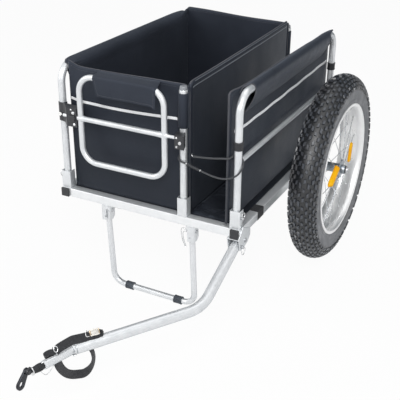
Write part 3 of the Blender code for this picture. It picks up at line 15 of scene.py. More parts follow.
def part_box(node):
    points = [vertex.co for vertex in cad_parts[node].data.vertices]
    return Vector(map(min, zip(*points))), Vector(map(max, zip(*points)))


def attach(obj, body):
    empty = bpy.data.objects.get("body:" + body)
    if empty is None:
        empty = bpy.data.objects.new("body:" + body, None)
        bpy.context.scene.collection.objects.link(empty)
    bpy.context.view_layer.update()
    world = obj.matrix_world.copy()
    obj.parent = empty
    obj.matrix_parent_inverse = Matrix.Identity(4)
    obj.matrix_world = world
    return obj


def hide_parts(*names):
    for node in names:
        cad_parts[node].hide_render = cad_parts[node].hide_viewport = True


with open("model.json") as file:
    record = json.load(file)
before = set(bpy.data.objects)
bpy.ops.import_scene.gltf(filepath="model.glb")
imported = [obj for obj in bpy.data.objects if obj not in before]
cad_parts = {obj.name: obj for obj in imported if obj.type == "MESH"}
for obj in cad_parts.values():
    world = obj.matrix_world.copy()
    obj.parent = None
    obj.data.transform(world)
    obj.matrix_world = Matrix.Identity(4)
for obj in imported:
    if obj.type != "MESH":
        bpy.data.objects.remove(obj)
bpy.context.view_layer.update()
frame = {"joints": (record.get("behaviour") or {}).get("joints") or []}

# Directions
RIGHT = Vector((1, 0, 0)).freeze()
UP = Vector((0, 0, 1)).freeze()
BACKWARD = Vector((0, 1, 0)).freeze()
FORWARD = Vector((0, -1, 0)).freeze()

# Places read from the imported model, and its gap between pieces that touch
GAP = 0.0003
HALF_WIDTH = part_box("rail_end_cap_right")[1].x
FRONT_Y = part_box("rail_end_cap_right")[0].y
RAIL_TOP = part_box("floor_panel")[1].z + GAP
JOINT = {joint["name"]: Vector(joint.get("pos_m", (0, 0, 0))) for joint in frame["joints"]}

# Base tubes, posts and hoops
RAIL = 0.0254
RAIL_WALL = 0.0016
RAIL_EDGE = 0.0022
RAIL_FRONT = 0.0065
RAIL_BACK = 0.728
POST_RADIUS = 0.010
POST_WALL = 0.0015
POST_X = 0.2645
MIDDLE_X = 0.110
FRONT_POST = 0.0195
REAR_POST = 0.715
HOOP_HEIGHT = 0.358
HOOP_BEND = 0.050
FRONT_COLLAR = 0.230
REAR_COLLAR = 0.248
MID_RAIL_HEIGHT = 0.183
SOCKET_HEIGHT = 0.052
SOCKET_WIDTH = 0.029
SOCKET_DEPTH = 0.024
SOCKET_WALL = 0.0022
WELD_PAD = 0.003
SLEEVE_LOW = 0.250
MIDDLE_POST_HEIGHT = 0.350
WHEEL_BACK = 0.539
AXLE_UP = -RAIL / 2 - 0.0028
PIN_HEIGHT = 0.030
PIN_HOLE = 0.0034

# Support frame
SUPPORT_RADIUS = 0.008
SUPPORT_LEFT = -0.186
SUPPORT_RIGHT = 0.071
SUPPORT_LOW = 0.107
SUPPORT_HIGH = 0.350
SUPPORT_CORNER = 0.045
SUPPORT_BACK = FRONT_POST - 0.030
CROSS_BAR_HEIGHT = 0.231

# Stand and tow arm
STAND_RADIUS = 0.00825
STAND_LEG = 0.1345
STAND_PIVOT_BACK = 0.0205
STAND_PIVOT_DROP = 0.0435
STAND_FOOT_BACK = 0.0375
CHANNEL_HALF = 0.01325
FOOT_RADIUS = 0.0118
ARM_RADIUS = 0.014
ARM_SLIM_RADIUS = 0.0105
ARM_X = 0.2653
ARM_PIVOT_BACK = 0.040
ARM_PIVOT_DROP = 0.0435
ARM_LOCK_FROM_PIVOT = 0.024
ARM_LEVEL_DROP = 0.134
ARM_BEND_BACK = -0.172
ARM_SLIM_START = Vector((0.0813, -0.4555))
ARM_END = Vector((0.0558, -0.5352))

# Wheels
ROLL_RADIUS = RAIL_TOP + AXLE_UP
TYRE_HALF = 0.0432
RIM_RADIUS = 0.205
RIM_HALF = 0.040
RIM_DEPTH = 0.015
HUB_HALF = 0.045
SPOKE_CIRCLE = 0.026
SPOKES = 28
TREAD_HEIGHT = 0.0044
TYRE_CASE = TYRE_HALF - 0.0012
TYRE_CROWN = ROLL_RADIUS - TREAD_HEIGHT - TYRE_CASE

# Colours of the fabric and its shine, and the painted shade of silver tube where it turns away from view
FABRIC_SHINE = (0.68, 0.77, 0.92, 1.0)
EDGE_SHADE = (0.270, 0.325, 0.360)
FABRIC_COLOUR = (0.0215, 0.0250, 0.0345)

# Fabric
SIDE_WALL_X = 0.2420
END_WALL_LEFT = -0.2495
END_WALL_WIDTH = 0.3695
END_WALL_THICKNESS = 0.0098
DIVIDER_LENGTH = 0.651
TAPE_HEIGHT = 0.2665
FLAP_THICKNESS = 0.0016
CREASE = 0.0009
STITCH_PITCH = 0.0052
STITCH_RADIUS = 0.00045

# Strap
STRAP_WIDTH = 0.021
STRAP_THICKNESS = 0.002

# Resolution
SIDES = 28
WHEEL_SIDES = 144
SHARP = radians(38)
SHEET_SHARP = radians(60)

# Studio
FLOOR_SIZE = 30.0
FLOOR_UP = -0.0006
FLOOR_GLOW = 0.95
FLAG_HALF, FLAG_BACK, FLAG_LOW, FLAG_HIGH = 5.0, 3.4, 0.2, 4.2
SKY_TOP = 0.20
SKY_LOW = 0.52
LAMP_TARGET = Vector((0.0, 0.1, 0.35))
CAMERA_PLACE = Vector((0.9905, -1.5983 + FRONT_Y, 0.9711 + RAIL_TOP))
CAMERA_AZIMUTH, CAMERA_ELEVATION, CAMERA_ROLL = radians(27.238), radians(26.590), radians(0.419)
CAMERA_LENS, CAMERA_SENSOR = 69.85, 36.0
CAMERA_SHIFT_X, CAMERA_SHIFT_Y = 0.000675, -0.0048


def place(right, back, up):
    """A point from its distance to the right, behind the end caps' front and above the rail tops."""
    return Vector((right, FRONT_Y + back, RAIL_TOP + up))


# Materials


class Nodes:
    """A shader tree that is put together node by node."""

    def __init__(self, tree):
        self.tree = tree

    def give(self, node, inputs):
        for name, value in inputs.items():
            if isinstance(value, bpy.types.NodeSocket):
                self.tree.links.new(value, node.inputs[name])
            else:
                node.inputs[name].default_value = value

    def add(self, kind, inputs=None, **settings):
        node = self.tree.nodes.new("ShaderNode" + kind)
        for key, value in settings.items():
            setattr(node, key, value)
        self.give(node, inputs or {})
        return node

    def math(self, operation, *values):
        return self.add("Math", dict(enumerate(values)), operation=operation).outputs[0]

    def parts(self, vector):
        return self.add("SeparateXYZ", {"Vector": vector}).outputs

    def between(self, value, low, high, out_low=0.0, out_high=1.0):
        settings = {"Value": value, "From Min": low, "From Max": high, "To Min": out_low,
                    "To Max": out_high}
        return self.add("MapRange", settings).outputs[0]

    def seen_directly(self):
        """1 for rays from the camera and those that a shiny or clear surface sends on, else 0."""
        rays = self.add("LightPath").outputs
        direct = self.math("MAXIMUM", rays["Is Camera Ray"], rays["Is Glossy Ray"])
        return self.math("MAXIMUM", direct, rays["Is Transmission Ray"])


def toned(colour, factor, more=0.0):
    """A colour made darker or brighter by a factor, with some grey added."""
    return tuple(value * factor + more for value in colour)


class Look(Nodes):
    """A Principled material. here is each point's place in metres."""

    def __init__(self, name, colour, roughness, metallic=0.0, **more):
        self.material = bpy.data.materials.new(name)
        self.material.use_nodes = True
        self.material.diffuse_color = (*colour, 1)
        super().__init__(self.material.node_tree)
        self.shader = self.tree.nodes["Principled BSDF"]
        self.give(self.shader, {"Base Color": (*colour, 1), "Roughness": roughness, "Metallic": metallic})
        self.give(self.shader, {key.replace("_", " "): value for key, value in more.items()})
        self.here = self.add("TexCoord").outputs["Object"]
        self.normal = None

    def route(self):
        """Metres along and round a tube or strap, from its own map."""
        return self.add("UVMap", uv_map="Route").outputs[0]

    def noise(self, scale, detail=3.0, rough=0.55, stretch=(1, 1, 1), vector=None):
        mapped = self.add("Mapping", {"Vector": vector or self.here, "Scale": stretch})
        settings = {"Vector": mapped.outputs[0], "Scale": scale, "Detail": detail, "Roughness": rough}
        return self.add("TexNoise", settings).outputs[0]

    def wave(self, value, pitch, phase=0.0):
        """A sine of 0 to 1 along a length."""
        turned = self.math("MULTIPLY_ADD", value, 2 * pi / pitch, phase)
        return self.math("MULTIPLY_ADD", self.math("SINE", turned), 0.5, 0.5)

    def blend(self, share, first, second):
        """A colour between two, each a triple or another node's colour."""
        mix = self.add("Mix", data_type="RGBA")
        for socket, value in ((mix.inputs[0], share), (mix.inputs[6], first), (mix.inputs[7], second)):
            if isinstance(value, bpy.types.NodeSocket):
                self.tree.links.new(value, socket)
            else:
                socket.default_value = (*value, 1) if isinstance(value, tuple) else value
        return mix.outputs[2]

    def paint(self, colour):
        self.give(self.shader, {"Base Color": colour})

    def rough(self, value, low, high):
        self.give(self.shader, {"Roughness": self.between(value, 0.3, 0.7, low, high)})

    def bump(self, height, distance, strength=1.0):
        inputs = {"Height": height, "Distance": distance, "Strength": strength}
        if self.normal is not None:
            inputs["Normal"] = self.normal
        self.normal = self.add("Bump", inputs).outputs[0]
        self.give(self.shader, {"Normal": self.normal})

    def edges(self, low=0.50, high=0.60):
        """How much an outer edge stands out, from 0 to 1."""
        return self.between(self.add("NewGeometry").outputs["Pointiness"], low, high)


def silver_look(name, light, dark, roughness, metallic, stretch):
    """Satin silver tube with faint drawing lines, handling marks, brighter worn edges and painted shade
    where it turns away from view.
    """
    look = Look(name, light, roughness, metallic)
    marks = look.noise(38, 4, 0.6)
    streaks = look.noise(240, 3, 0.6, stretch)
    tone = look.blend(look.between(marks, 0.35, 0.70), dark, light)
    # Painted shade: the tube's colour darkens towards EDGE_SHADE where its surface turns away from view
    turned_away_shade = look.between(look.add("LayerWeight", {"Blend": 0.5}).outputs["Facing"], 0.42, 0.92)
    tone = look.blend(look.math("MULTIPLY", turned_away_shade, 0.62), tone, EDGE_SHADE)
    worn = tuple(min(1.0, value * 1.06) for value in light)
    look.paint(look.blend(look.math("MULTIPLY", look.edges(), 0.5), tone, worn))
    look.rough(look.math("ADD", look.math("MULTIPLY", marks, 0.6), look.math("MULTIPLY", streaks, 0.4)),
               roughness - 0.07, roughness + 0.10)
    look.bump(streaks, 0.00004, 0.5)
    look.bump(look.noise(900, 2, 0.5), 0.00003, 0.4)
    return look.material


def fabric_look(name, colour, axes, pitch=0.0011):
    """Coated woven polyester: a plain weave, soft sheen and creases, and painted shade that darkens it
    towards the bottom.
    """
    look = Look(name, colour, 0.5, 0.0, Specular_IOR_Level=0.34, Sheen_Weight=0.11, Sheen_Roughness=0.40)
    look.shader.inputs["Specular Tint"].default_value = FABRIC_SHINE
    look.shader.inputs["Sheen Tint"].default_value = FABRIC_SHINE
    sides = look.parts(look.here)
    first, second = (sides["XYZ".index(axis)] for axis in axes)
    over = look.wave(first, pitch)
    under = look.wave(second, pitch)
    weave = look.math("ABSOLUTE", look.math("SUBTRACT", over, under))
    cloud = look.noise(5.5, 4, 0.55)
    fine = look.noise(160, 2, 0.5)
    light = toned(colour, 1.30)
    dark = toned(colour, 0.78)
    tone = look.blend(look.between(cloud, 0.30, 0.72), dark, light)
    # Painted shade: the colour darkens towards the bottom of the walls and on the floor, where less light
    # reaches
    low = look.between(sides[2], RAIL_TOP + 0.05, RAIL_TOP + 0.36, 0.72, 0.0)
    tone = look.blend(low, tone, toned(colour, 0.30))
    thread = look.blend(look.math("MULTIPLY", weave, 0.22), tone, toned(colour, 0.55))
    dust = look.math("MULTIPLY", look.between(fine, 0.62, 0.85), 0.20)
    look.paint(look.blend(dust, thread, toned(colour, 0.6, 0.05)))
    look.rough(cloud, 0.44, 0.60)
    look.bump(weave, 0.00010, 0.45)
    look.bump(look.noise(26, 3, 0.5), 0.0012, 0.45)
    return look.material


def plastic_look(name, colour, roughness=0.42):
    """Moulded plastic with a fine grain and scuffed edges."""
    look = Look(name, colour, roughness)
    grain = look.noise(1400, 2, 0.6)
    cloud = look.noise(60, 3, 0.5)
    scuffed = toned(colour, 2.2, 0.02)
    look.paint(look.blend(look.math("MULTIPLY", look.edges(0.51, 0.60), 0.6), colour, scuffed))
    look.rough(cloud, roughness - 0.08, roughness + 0.12)
    look.bump(grain, 0.00005, 0.5)
    return look.material


def rubber_look(name, colour, roughness=0.78):
    """Dull rubber with a fine grain and paler patches."""
    look = Look(name, colour, roughness, Specular_IOR_Level=0.35)
    cloud = look.noise(45, 4, 0.6)
    look.paint(look.blend(look.between(cloud, 0.35, 0.75), colour, toned(colour, 1.7, 0.004)))
    look.rough(cloud, roughness - 0.10, roughness + 0.08)
    look.bump(look.noise(700, 2, 0.6), 0.00008, 0.5)
    return look.material


def tyre_look(name, colour, centre_x, centre_y, centre_z):
    """Rubber with painted shade in the grooves between its blocks, road dust and fine mould lines round the
    wall.
    """
    look = Look(name, colour, 0.45, Specular_IOR_Level=0.75)
    x, y, z = look.parts(look.here)
    away = look.math("SUBTRACT", x, centre_x)
    from_y = look.math("SUBTRACT", y, centre_y)
    from_z = look.math("SUBTRACT", z, centre_z)
    radius = look.math("SQRT", look.math("ADD", look.math("MULTIPLY", from_y, from_y),
                                         look.math("MULTIPLY", from_z, from_z)))
    over = look.math("SUBTRACT", radius, TYRE_CROWN)
    out = look.math("SQRT", look.math("ADD", look.math("MULTIPLY", over, over),
                                      look.math("MULTIPLY", away, away)))
    cloud = look.noise(24, 4, 0.6)
    brown = look.noise(7, 3, 0.6)
    raised = look.between(out, TYRE_CASE + 0.0002, TYRE_CASE + TREAD_HEIGHT * 0.9)
    # Painted shade: the rubber between the blocks is coloured far darker than the blocks themselves
    groove = toned(colour, 0.22)
    tone = look.blend(raised, groove, toned(colour, 1.35))
    wall = look.between(radius, TYRE_CROWN + 0.007, TYRE_CROWN - 0.001)
    tone = look.blend(wall, tone, toned(colour, 1.7))
    dusty = look.math("MULTIPLY", look.between(cloud, 0.48, 0.75), 0.42)
    tone = look.blend(look.math("MULTIPLY", dusty, raised), tone, (0.090, 0.094, 0.102))
    worn = look.math("MULTIPLY", look.between(brown, 0.50, 0.72), look.math("MULTIPLY", raised, 0.45))
    look.paint(look.blend(worn, tone, (0.085, 0.068, 0.056)))
    look.rough(cloud, 0.30, 0.52)
    rings = look.wave(radius, 0.0030)
    look.bump(look.math("MULTIPLY", rings, wall), 0.00022, 0.5)
    look.bump(look.noise(380, 3, 0.6), 0.00014, 0.5)
    return look.material


def rim_look(name, colour):
    """Polished aluminium with turning lines round the wheel."""
    look = Look(name, colour, 0.3, 0.60)
    cloud = look.noise(14, 3, 0.55)
    lines = look.noise(1, 3, 0.6, (2600, 8, 8))
    look.paint(look.blend(look.between(cloud, 0.40, 0.70), toned(colour, 0.90), colour))
    look.rough(look.math("ADD", look.math("MULTIPLY", cloud, 0.7), look.math("MULTIPLY", lines, 0.3)),
               0.26, 0.42)
    look.bump(lines, 0.00003, 0.4)
    return look.material


def steel_look(name, colour, roughness):
    """Bare or plated metal with faint cloudy marks."""
    look = Look(name, colour, roughness, 1.0)
    cloud = look.noise(90, 3, 0.6)
    look.paint(look.blend(look.between(cloud, 0.35, 0.70), toned(colour, 0.72), colour))
    look.rough(cloud, roughness - 0.08, roughness + 0.14)
    look.bump(look.noise(1200, 2, 0.5), 0.00003, 0.5)
    return look.material


def webbing_look(name, colour):
    """Woven strap with chevron ribs along its own length."""
    look = Look(name, colour, 0.8, Sheen_Weight=0.2)
    along, around, _ = look.parts(look.route())
    slant = look.math("ABSOLUTE", look.math("SUBTRACT", look.wave(around, 0.0045), 0.5))
    ribs = look.wave(look.math("ADD", along, look.math("MULTIPLY", slant, 0.003)), 0.0013)
    cloud = look.noise(120, 3, 0.6)
    look.paint(look.blend(look.math("MULTIPLY", ribs, 0.5), toned(colour, 0.6), toned(colour, 1.9)))
    look.rough(cloud, 0.70, 0.90)
    look.bump(ribs, 0.00025, 0.8)
    return look.material


def braid_look(name, colour):
    """Braided sleeve of an elastic cord, its strands crossing in two directions."""
    look = Look(name, colour, 0.7, Sheen_Weight=0.15)
    along, around, _ = look.parts(look.route())
    first = look.wave(look.math("ADD", along, look.math("MULTIPLY", around, 1.1)), 0.0026)
    second = look.wave(look.math("SUBTRACT", along, look.math("MULTIPLY", around, 1.1)), 0.0026)
    strands = look.math("MAXIMUM", first, second)
    look.paint(look.blend(look.between(strands, 0.5, 1.0), toned(colour, 0.4), toned(colour, 2.4)))
    look.bump(strands, 0.0003, 0.8)
    return look.material


def strip_look(name):
    """Silver reflective tape with a fine lattice."""
    look = Look(name, (0.92, 0.93, 0.95), 0.4, 0.0, Specular_IOR_Level=0.6)
    x, y, z = look.parts(look.here)
    flat = look.math("ADD", x, y)
    lattice = look.math("MULTIPLY", look.wave(look.math("ADD", flat, z), 0.0022),
                        look.wave(look.math("SUBTRACT", flat, z), 0.0022))
    cloud = look.noise(55, 3, 0.6)
    tone = look.blend(look.between(cloud, 0.35, 0.7), (0.86, 0.87, 0.89), (0.96, 0.965, 0.975))
    look.paint(look.blend(look.math("MULTIPLY", lattice, 0.25), tone, (0.90, 0.90, 0.92)))
    look.rough(cloud, 0.30, 0.50)
    look.bump(lattice, 0.00008, 0.5)
    return look.material


def amber_look(name):
    """Amber reflector with small prisms under its face."""
    look = Look(name, (1.0, 0.44, 0.0), 0.42, Specular_IOR_Level=0.25)
    cells = look.add("TexVoronoi", {"Vector": look.here, "Scale": 420.0}).outputs["Distance"]
    glow = look.noise(45, 2, 0.5)
    tone = look.blend(look.between(cells, 0.0, 0.6), (1.0, 0.56, 0.0), (1.0, 0.42, 0.0))
    look.paint(look.blend(look.math("MULTIPLY", look.between(glow, 0.4, 0.7), 0.6), tone,
                          (1.0, 0.62, 0.004)))
    look.rough(glow, 0.34, 0.50)
    look.bump(cells, 0.0003, 0.4)
    return look.material


SILVER = silver_look("silver_tube", (0.76, 0.775, 0.79), (0.66, 0.68, 0.70), 0.33, 0.55, (1, 1, 0.03))
SILVER_LEVEL = silver_look("silver_tube_level", (0.74, 0.755, 0.77), (0.64, 0.66, 0.68), 0.33, 0.55,
                           (0.03, 0.03, 1))
RAIL_SILVER = silver_look("silver_rail", (0.86, 0.872, 0.88), (0.79, 0.805, 0.82), 0.36, 0.62,
                          (0.03, 0.03, 1))
WELD = silver_look("weld_bead", (0.66, 0.675, 0.69), (0.52, 0.535, 0.55), 0.42, 0.7, (1, 1, 1))
CHROME = steel_look("chrome_wire", (0.82, 0.83, 0.84), 0.16)
STEEL = steel_look("zinc_steel", (0.58, 0.59, 0.61), 0.32)
SPOKE_STEEL = steel_look("spoke_steel", (0.62, 0.65, 0.68), 0.25)
HUB_ALLOY = steel_look("hub_alloy", (0.36, 0.40, 0.44), 0.32)
PLASTIC = plastic_look("black_plastic", (0.018, 0.019, 0.022))
CAP_PLASTIC = plastic_look("grey_cap", (0.20, 0.21, 0.225), 0.34)
GREY_PLASTIC = plastic_look("pale_buckle", (0.62, 0.60, 0.56), 0.38)
BRASS = steel_look("brass_bar", (0.62, 0.50, 0.36), 0.28)
EYE_STEEL = steel_look("blackened_steel", (0.055, 0.058, 0.066), 0.30)
WHITE_PLASTIC = plastic_look("white_plastic", (0.72, 0.72, 0.70), 0.35)
RUBBER = rubber_look("black_rubber", (0.022, 0.023, 0.025))
SLEEVE_RUBBER = rubber_look("grey_rubber", (0.052, 0.060, 0.072), 0.62)
FABRIC_FRONT = fabric_look("fabric_crosswise", FABRIC_COLOUR, "XZ")
FABRIC_SIDE = fabric_look("fabric_lengthwise", FABRIC_COLOUR, "YZ")
FABRIC_FLOOR = fabric_look("fabric_level", toned(FABRIC_COLOUR, 0.75), "XY")
BINDING = fabric_look("fabric_binding", (0.078, 0.078, 0.086), "YZ", 0.0018)
THREAD = fabric_look("sewing_thread", (0.085, 0.088, 0.100), "YZ", 0.0006)
PIPING = fabric_look("pale_piping", (0.26, 0.28, 0.31), "YZ", 0.0008)
STRIP = strip_look("reflective_tape")
WEBBING = webbing_look("black_webbing", (0.020, 0.021, 0.025))
BRAID = braid_look("braided_cord", (0.030, 0.032, 0.036))
AMBER = amber_look("amber_reflector")
TYRES = {word: tyre_look("tyre_rubber_" + word, (0.036, 0.041, 0.051), *JOINT[f"wheel_{word}_spin"])
         for word in ("left", "right")}
RIMS = {word: rim_look("rim_alloy_" + word, (0.93, 0.935, 0.94)) for word in ("left", "right")}


# Shapes


def link(name, data):
    """A new object with this mesh, lamp or camera, in the scene."""
    obj = bpy.data.objects.new(name, data)
    bpy.context.scene.collection.objects.link(obj)
    return obj


def shade(mesh, sharp):
    """Smooth shading, with edges sharper than this angle kept crisp."""
    mesh.shade_smooth()
    mesh.set_sharp_from_angle(angle=sharp)


def add_mesh(name, points, faces, uvs=None):
    """A closed or open mesh in world coordinates. uvs holds a pair for each corner of each face."""
    mesh = bpy.data.meshes.new(name)
    mesh.from_pydata([tuple(point) for point in points], [], faces)
    if uvs:
        layer = mesh.uv_layers.new(name="Route")
        flat = [pair for face in uvs for pair in face]
        for corner, pair in zip(layer.data, flat):
            corner.uv = pair
    work = bmesh.new()
    work.from_mesh(mesh)
    bmesh.ops.recalc_face_normals(work, faces=work.faces)
    work.to_mesh(mesh)
    work.free()
    shade(mesh, SHARP)
    return link(name, mesh)


def piece(obj, look, *nodes, body="frame", slot=None):
    """Finishes a shape: its material, the body it rides on and the nodes it stands for. Its slot is not
    used.
    """
    obj.data.materials.clear()
    obj.data.materials.append(look)
    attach(obj, body)
    if nodes:
        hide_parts(*nodes)
    return obj


def soften(obj, width, segments=2):
    """Rounds an object's sharp edges."""
    modifier = obj.modifiers.new("soft_edges", "BEVEL")
    modifier.width = width
    modifier.segments = segments
    modifier.limit_method = "ANGLE"
    modifier.angle_limit = SHARP
    modifier.miter_outer = "MITER_ARC"
    return obj


def settle(obj):
    """Applies the modifiers of an object."""
    bpy.context.view_layer.update()
    evaluated = obj.evaluated_get(bpy.context.evaluated_depsgraph_get())
    mesh = bpy.data.meshes.new_from_object(evaluated)
    obj.modifiers.clear()
    obj.data = mesh
    return obj


def carve(obj, *others, operation="DIFFERENCE"):
    """Cuts other shapes out of an object, or joins them to it, and removes them."""
    for other in others:
        modifier = obj.modifiers.new("carve", "BOOLEAN")
        modifier.operation = operation
        modifier.solver = "EXACT"
        modifier.object = other
        settle(obj)
        bpy.data.objects.remove(other)
    shade(obj.data, SHARP)
    return obj


def directions_along(points, closed):
    """The direction of travel at each point, also where neighbouring points fall together."""
    count = len(points)
    found = []
    for i in range(count):
        ahead = behind = i
        while (points[ahead] - points[i]).length < 1e-7 and (closed or ahead < count - 1):
            ahead = (ahead + 1) % count
        while (points[behind] - points[i]).length < 1e-7 and (closed or behind > 0):
            behind = (behind - 1) % count
        found.append((points[ahead] - points[behind]).normalized())
    return found


def frames_along(points, closed, side_way):
    """The sideways and upward directions at each point, turned with the path and without twist."""
    across = Vector(side_way)
    frames = []
    for way in directions_along(points, closed):
        across = (across - way * across.dot(way)).normalized()
        frames.append((across, way.cross(across)))
    return frames


def skin(name, rings, closed=False):
    """A surface through rings of equal count, capped at its ends unless the last ring meets the first."""
    sides = len(rings[0])
    points = [point for ring in rings for point in ring]
    lengths = [0.0]
    for first, second in zip(rings, rings[1:] + rings[:1]):
        lengths.append(lengths[-1] + (second[0] - first[0]).length)
    around = [0.0]
    widest = max(rings, key=lambda ring: (ring[0] - ring[sides // 2]).length)
    for k in range(sides):
        around.append(around[-1] + (widest[(k + 1) % sides] - widest[k]).length)
    faces, uvs = [], []
    for i in range(len(rings) if closed else len(rings) - 1):
        a, b = i * sides, (i + 1) % len(rings) * sides
        for k in range(sides):
            faces.append((a + k, a + (k + 1) % sides, b + (k + 1) % sides, b + k))
            uvs.append([(lengths[i], around[k]), (lengths[i], around[k + 1]),
                        (lengths[i + 1], around[k + 1]), (lengths[i + 1], around[k])])
    if not closed:
        for first in (0, len(points) - sides):
            faces.append(tuple(range(first, first + sides)))
            uvs.append([(0.0, 0.0)] * sides)
    return add_mesh(name, points, faces, uvs)


def off_axis(way):
    """A direction that is well away from this one."""
    return UP if abs(way.z) < 0.7 else RIGHT


def band(first, second, sides):
    """Faces between two rings of points, each given by the number of its first point."""
    return [(first + k, first + (k + 1) % sides, second + (k + 1) % sides, second + k)
            for k in range(sides)]


def circle(centre, across, up, radius, sides):
    """A ring of points round a centre."""
    angles = [2 * pi * (k + 0.5) / sides for k in range(sides)]
    return [centre + (across * cos(a) + up * sin(a)) * radius for a in angles]


def add_tube(name, points, outer, inner=None, closed=False, side_way=(1, 0, 0), sides=SIDES):
    """A round tube along a path. A radius is one number, or one for each point."""
    def rings(radius):
        radii = radius if isinstance(radius, list) else [radius] * len(points)
        frames = frames_along(points, closed, side_way)
        return [circle(point, across, up, r, sides)
                for point, (across, up), r in zip(points, frames, radii)]

    outside = rings(outer)
    if inner is None:
        return skin(name, outside, closed)
    return skin(name, outside + rings(inner)[::-1], True)


def add_rod(name, start, end, radius, inner=None, sides=SIDES, edge=0.0):
    """A straight round bar or tube, its outer ends rounded by edge."""
    way = (end - start).normalized()
    points, radii = [start, end], [radius, radius]
    if edge:
        points = [start, start + way * edge * 0.3, start + way * edge, end - way * edge,
                  end - way * edge * 0.3, end]
        radii = [radius - edge, radius - edge * 0.3, radius, radius, radius - edge * 0.3, radius - edge]
    return add_tube(name, points, radii, inner=inner, side_way=off_axis(way), sides=sides)


def add_turned(name, profile, centre, way, closed=False, sides=48):
    """A profile of (distance along, radius) turned round an axis."""
    side_way = off_axis(way)
    across = (side_way - way * side_way.dot(way)).normalized()
    up = way.cross(across)
    return skin(name, [circle(centre + way * along, across, up, r, sides) for along, r in profile], closed)


def add_box(name, low, high, edge=0.0, segments=2):
    """A box between two corners, its edges rounded where edge is set."""
    points = [(x, y, z) for x in (low[0], high[0]) for y in (low[1], high[1]) for z in (low[2], high[2])]
    faces = [(0, 1, 3, 2), (4, 6, 7, 5), (0, 4, 5, 1), (2, 3, 7, 6), (0, 2, 6, 4), (1, 5, 7, 3)]
    obj = add_mesh(name, points, faces)
    return soften(obj, edge, segments) if edge else obj


def add_prism(name, outline, axis, low, high, edge=0.0):
    """A flat outline pushed along an axis. Its points are the other two of x, y and z, in that order."""
    def point(pair, height):
        values = list(pair)
        values.insert("xyz".index(axis), height)
        return tuple(values)

    count = len(outline)
    points = [point(pair, low) for pair in outline] + [point(pair, high) for pair in outline]
    faces = [tuple(range(count)), tuple(range(2 * count - 1, count - 1, -1))]
    faces += [(i, (i + 1) % count, (i + 1) % count + count, i + count) for i in range(count)]
    obj = add_mesh(name, points, faces)
    return soften(obj, edge) if edge else obj


def arc(centre, radius, start, end, steps):
    """Points of a flat arc, its angles in degrees."""
    angles = [radians(start + (end - start) * i / steps) for i in range(steps + 1)]
    return [(centre[0] + radius * cos(a), centre[1] + radius * sin(a)) for a in angles]


def rounded(corners, radius, closed=False, steps=14):
    """The path through these corners, with each bend drawn as an arc."""
    count = len(corners)
    path = [] if closed else [corners[0]]
    for i in range(0 if closed else 1, count if closed else count - 1):
        corner = corners[i]
        back = (corners[i - 1] - corner).normalized()
        ahead = (corners[(i + 1) % count] - corner).normalized()
        half = back.angle(ahead) / 2
        middle = corner + (back + ahead).normalized() * radius / sin(half)
        first = corner + back * radius / tan(half) - middle
        last = corner + ahead * radius / tan(half) - middle
        path += [middle + first.slerp(last, step / steps).normalized() * radius
                 for step in range(steps + 1)]
    return path if closed else path + [corners[-1]]


def smooth_path(route, count):
    """Points read at even steps of a smooth curve through the route's points."""
    ends = [2 * route[0] - route[1]] + list(route) + [2 * route[-1] - route[-2]]
    fine = []
    for i in range(1, len(ends) - 2):
        a, b, c, d = ends[i - 1 : i + 3]
        for step in range(24):
            t = step / 24
            fine.append(0.5 * (2 * b + (c - a) * t + (2 * a - 5 * b + 4 * c - d) * t * t
                               + (3 * b - a - 3 * c + d) * t * t * t))
    fine.append(route[-1])
    lengths = [0.0]
    for first, second in zip(fine, fine[1:]):
        lengths.append(lengths[-1] + (second - first).length)
    points = []
    j = 0
    for i in range(count):
        wanted = lengths[-1] * i / (count - 1)
        while j < len(fine) - 2 and lengths[j + 1] < wanted:
            j += 1
        share = (wanted - lengths[j]) / max(1e-9, lengths[j + 1] - lengths[j])
        points.append(fine[j].lerp(fine[j + 1], share))
    return points


def add_wire(name, route, radius, count, body, sides=8):
    """A thin bent wire along a smooth curve through its route."""
    piece(add_tube(name, smooth_path(route, count), radius, sides=sides), CHROME, body=body)


def dense(points, step):
    """The same straight runs with extra points, none further apart than step."""
    found = [points[0]]
    for first, second in zip(points, points[1:]):
        parts = max(1, ceil((second - first).length / step))
        found += [first.lerp(second, k / parts) for k in range(1, parts + 1)]
    return found


def add_ribbon(name, points, width, thickness, level):
    """A flat strap along a path. Its width follows level, one direction or one for each point."""
    levels = level if isinstance(level, list) else [level] * len(points)
    rings = []
    before = None
    for point, way, across in zip(points, directions_along(points, False), levels):
        across = (across - way * across.dot(way)).normalized()
        if before and across.dot(before) < 0:
            across = -across
        before = across
        face = way.cross(across).normalized() * thickness / 2
        edge = across * (width / 2 - thickness / 2)
        tip = across * width / 2
        rings.append([point + edge + face, point - edge + face, point - tip, point - edge - face,
                      point + edge - face, point + tip])
    return skin(name, rings)


def add_bead(name, points, radius=0.0017, closed=False):
    """A weld bead with the ripples of its passes."""
    step, pitch = 0.0011, 0.0034
    path = dense(points + points[:1] if closed else points, step)
    if closed:
        path = path[:-1]
    radii = []
    for i, point in enumerate(path):
        ripple = 0.16 * sin(2 * pi * i * step / pitch)
        radii.append(radius * (1 + ripple + 0.22 * noise.noise(point * 160)))
    bead = add_tube(name, path, radii, closed=closed, side_way=(0.3, 0.5, 0.8), sides=8)
    return piece(bead, WELD)


def saddle(centre, branch_way, main_way, main_radius, branch_radius):
    """The line where a branch tube meets the side of a main tube."""
    steps = 30
    across = main_way.cross(branch_way).normalized()
    line = []
    for i in range(steps):
        a = 2 * pi * i / steps
        side = branch_radius * sin(a)
        out = sqrt(max(0.0, main_radius ** 2 - side ** 2))
        line.append(centre + branch_way * out + across * side + main_way * branch_radius * cos(a))
    return line


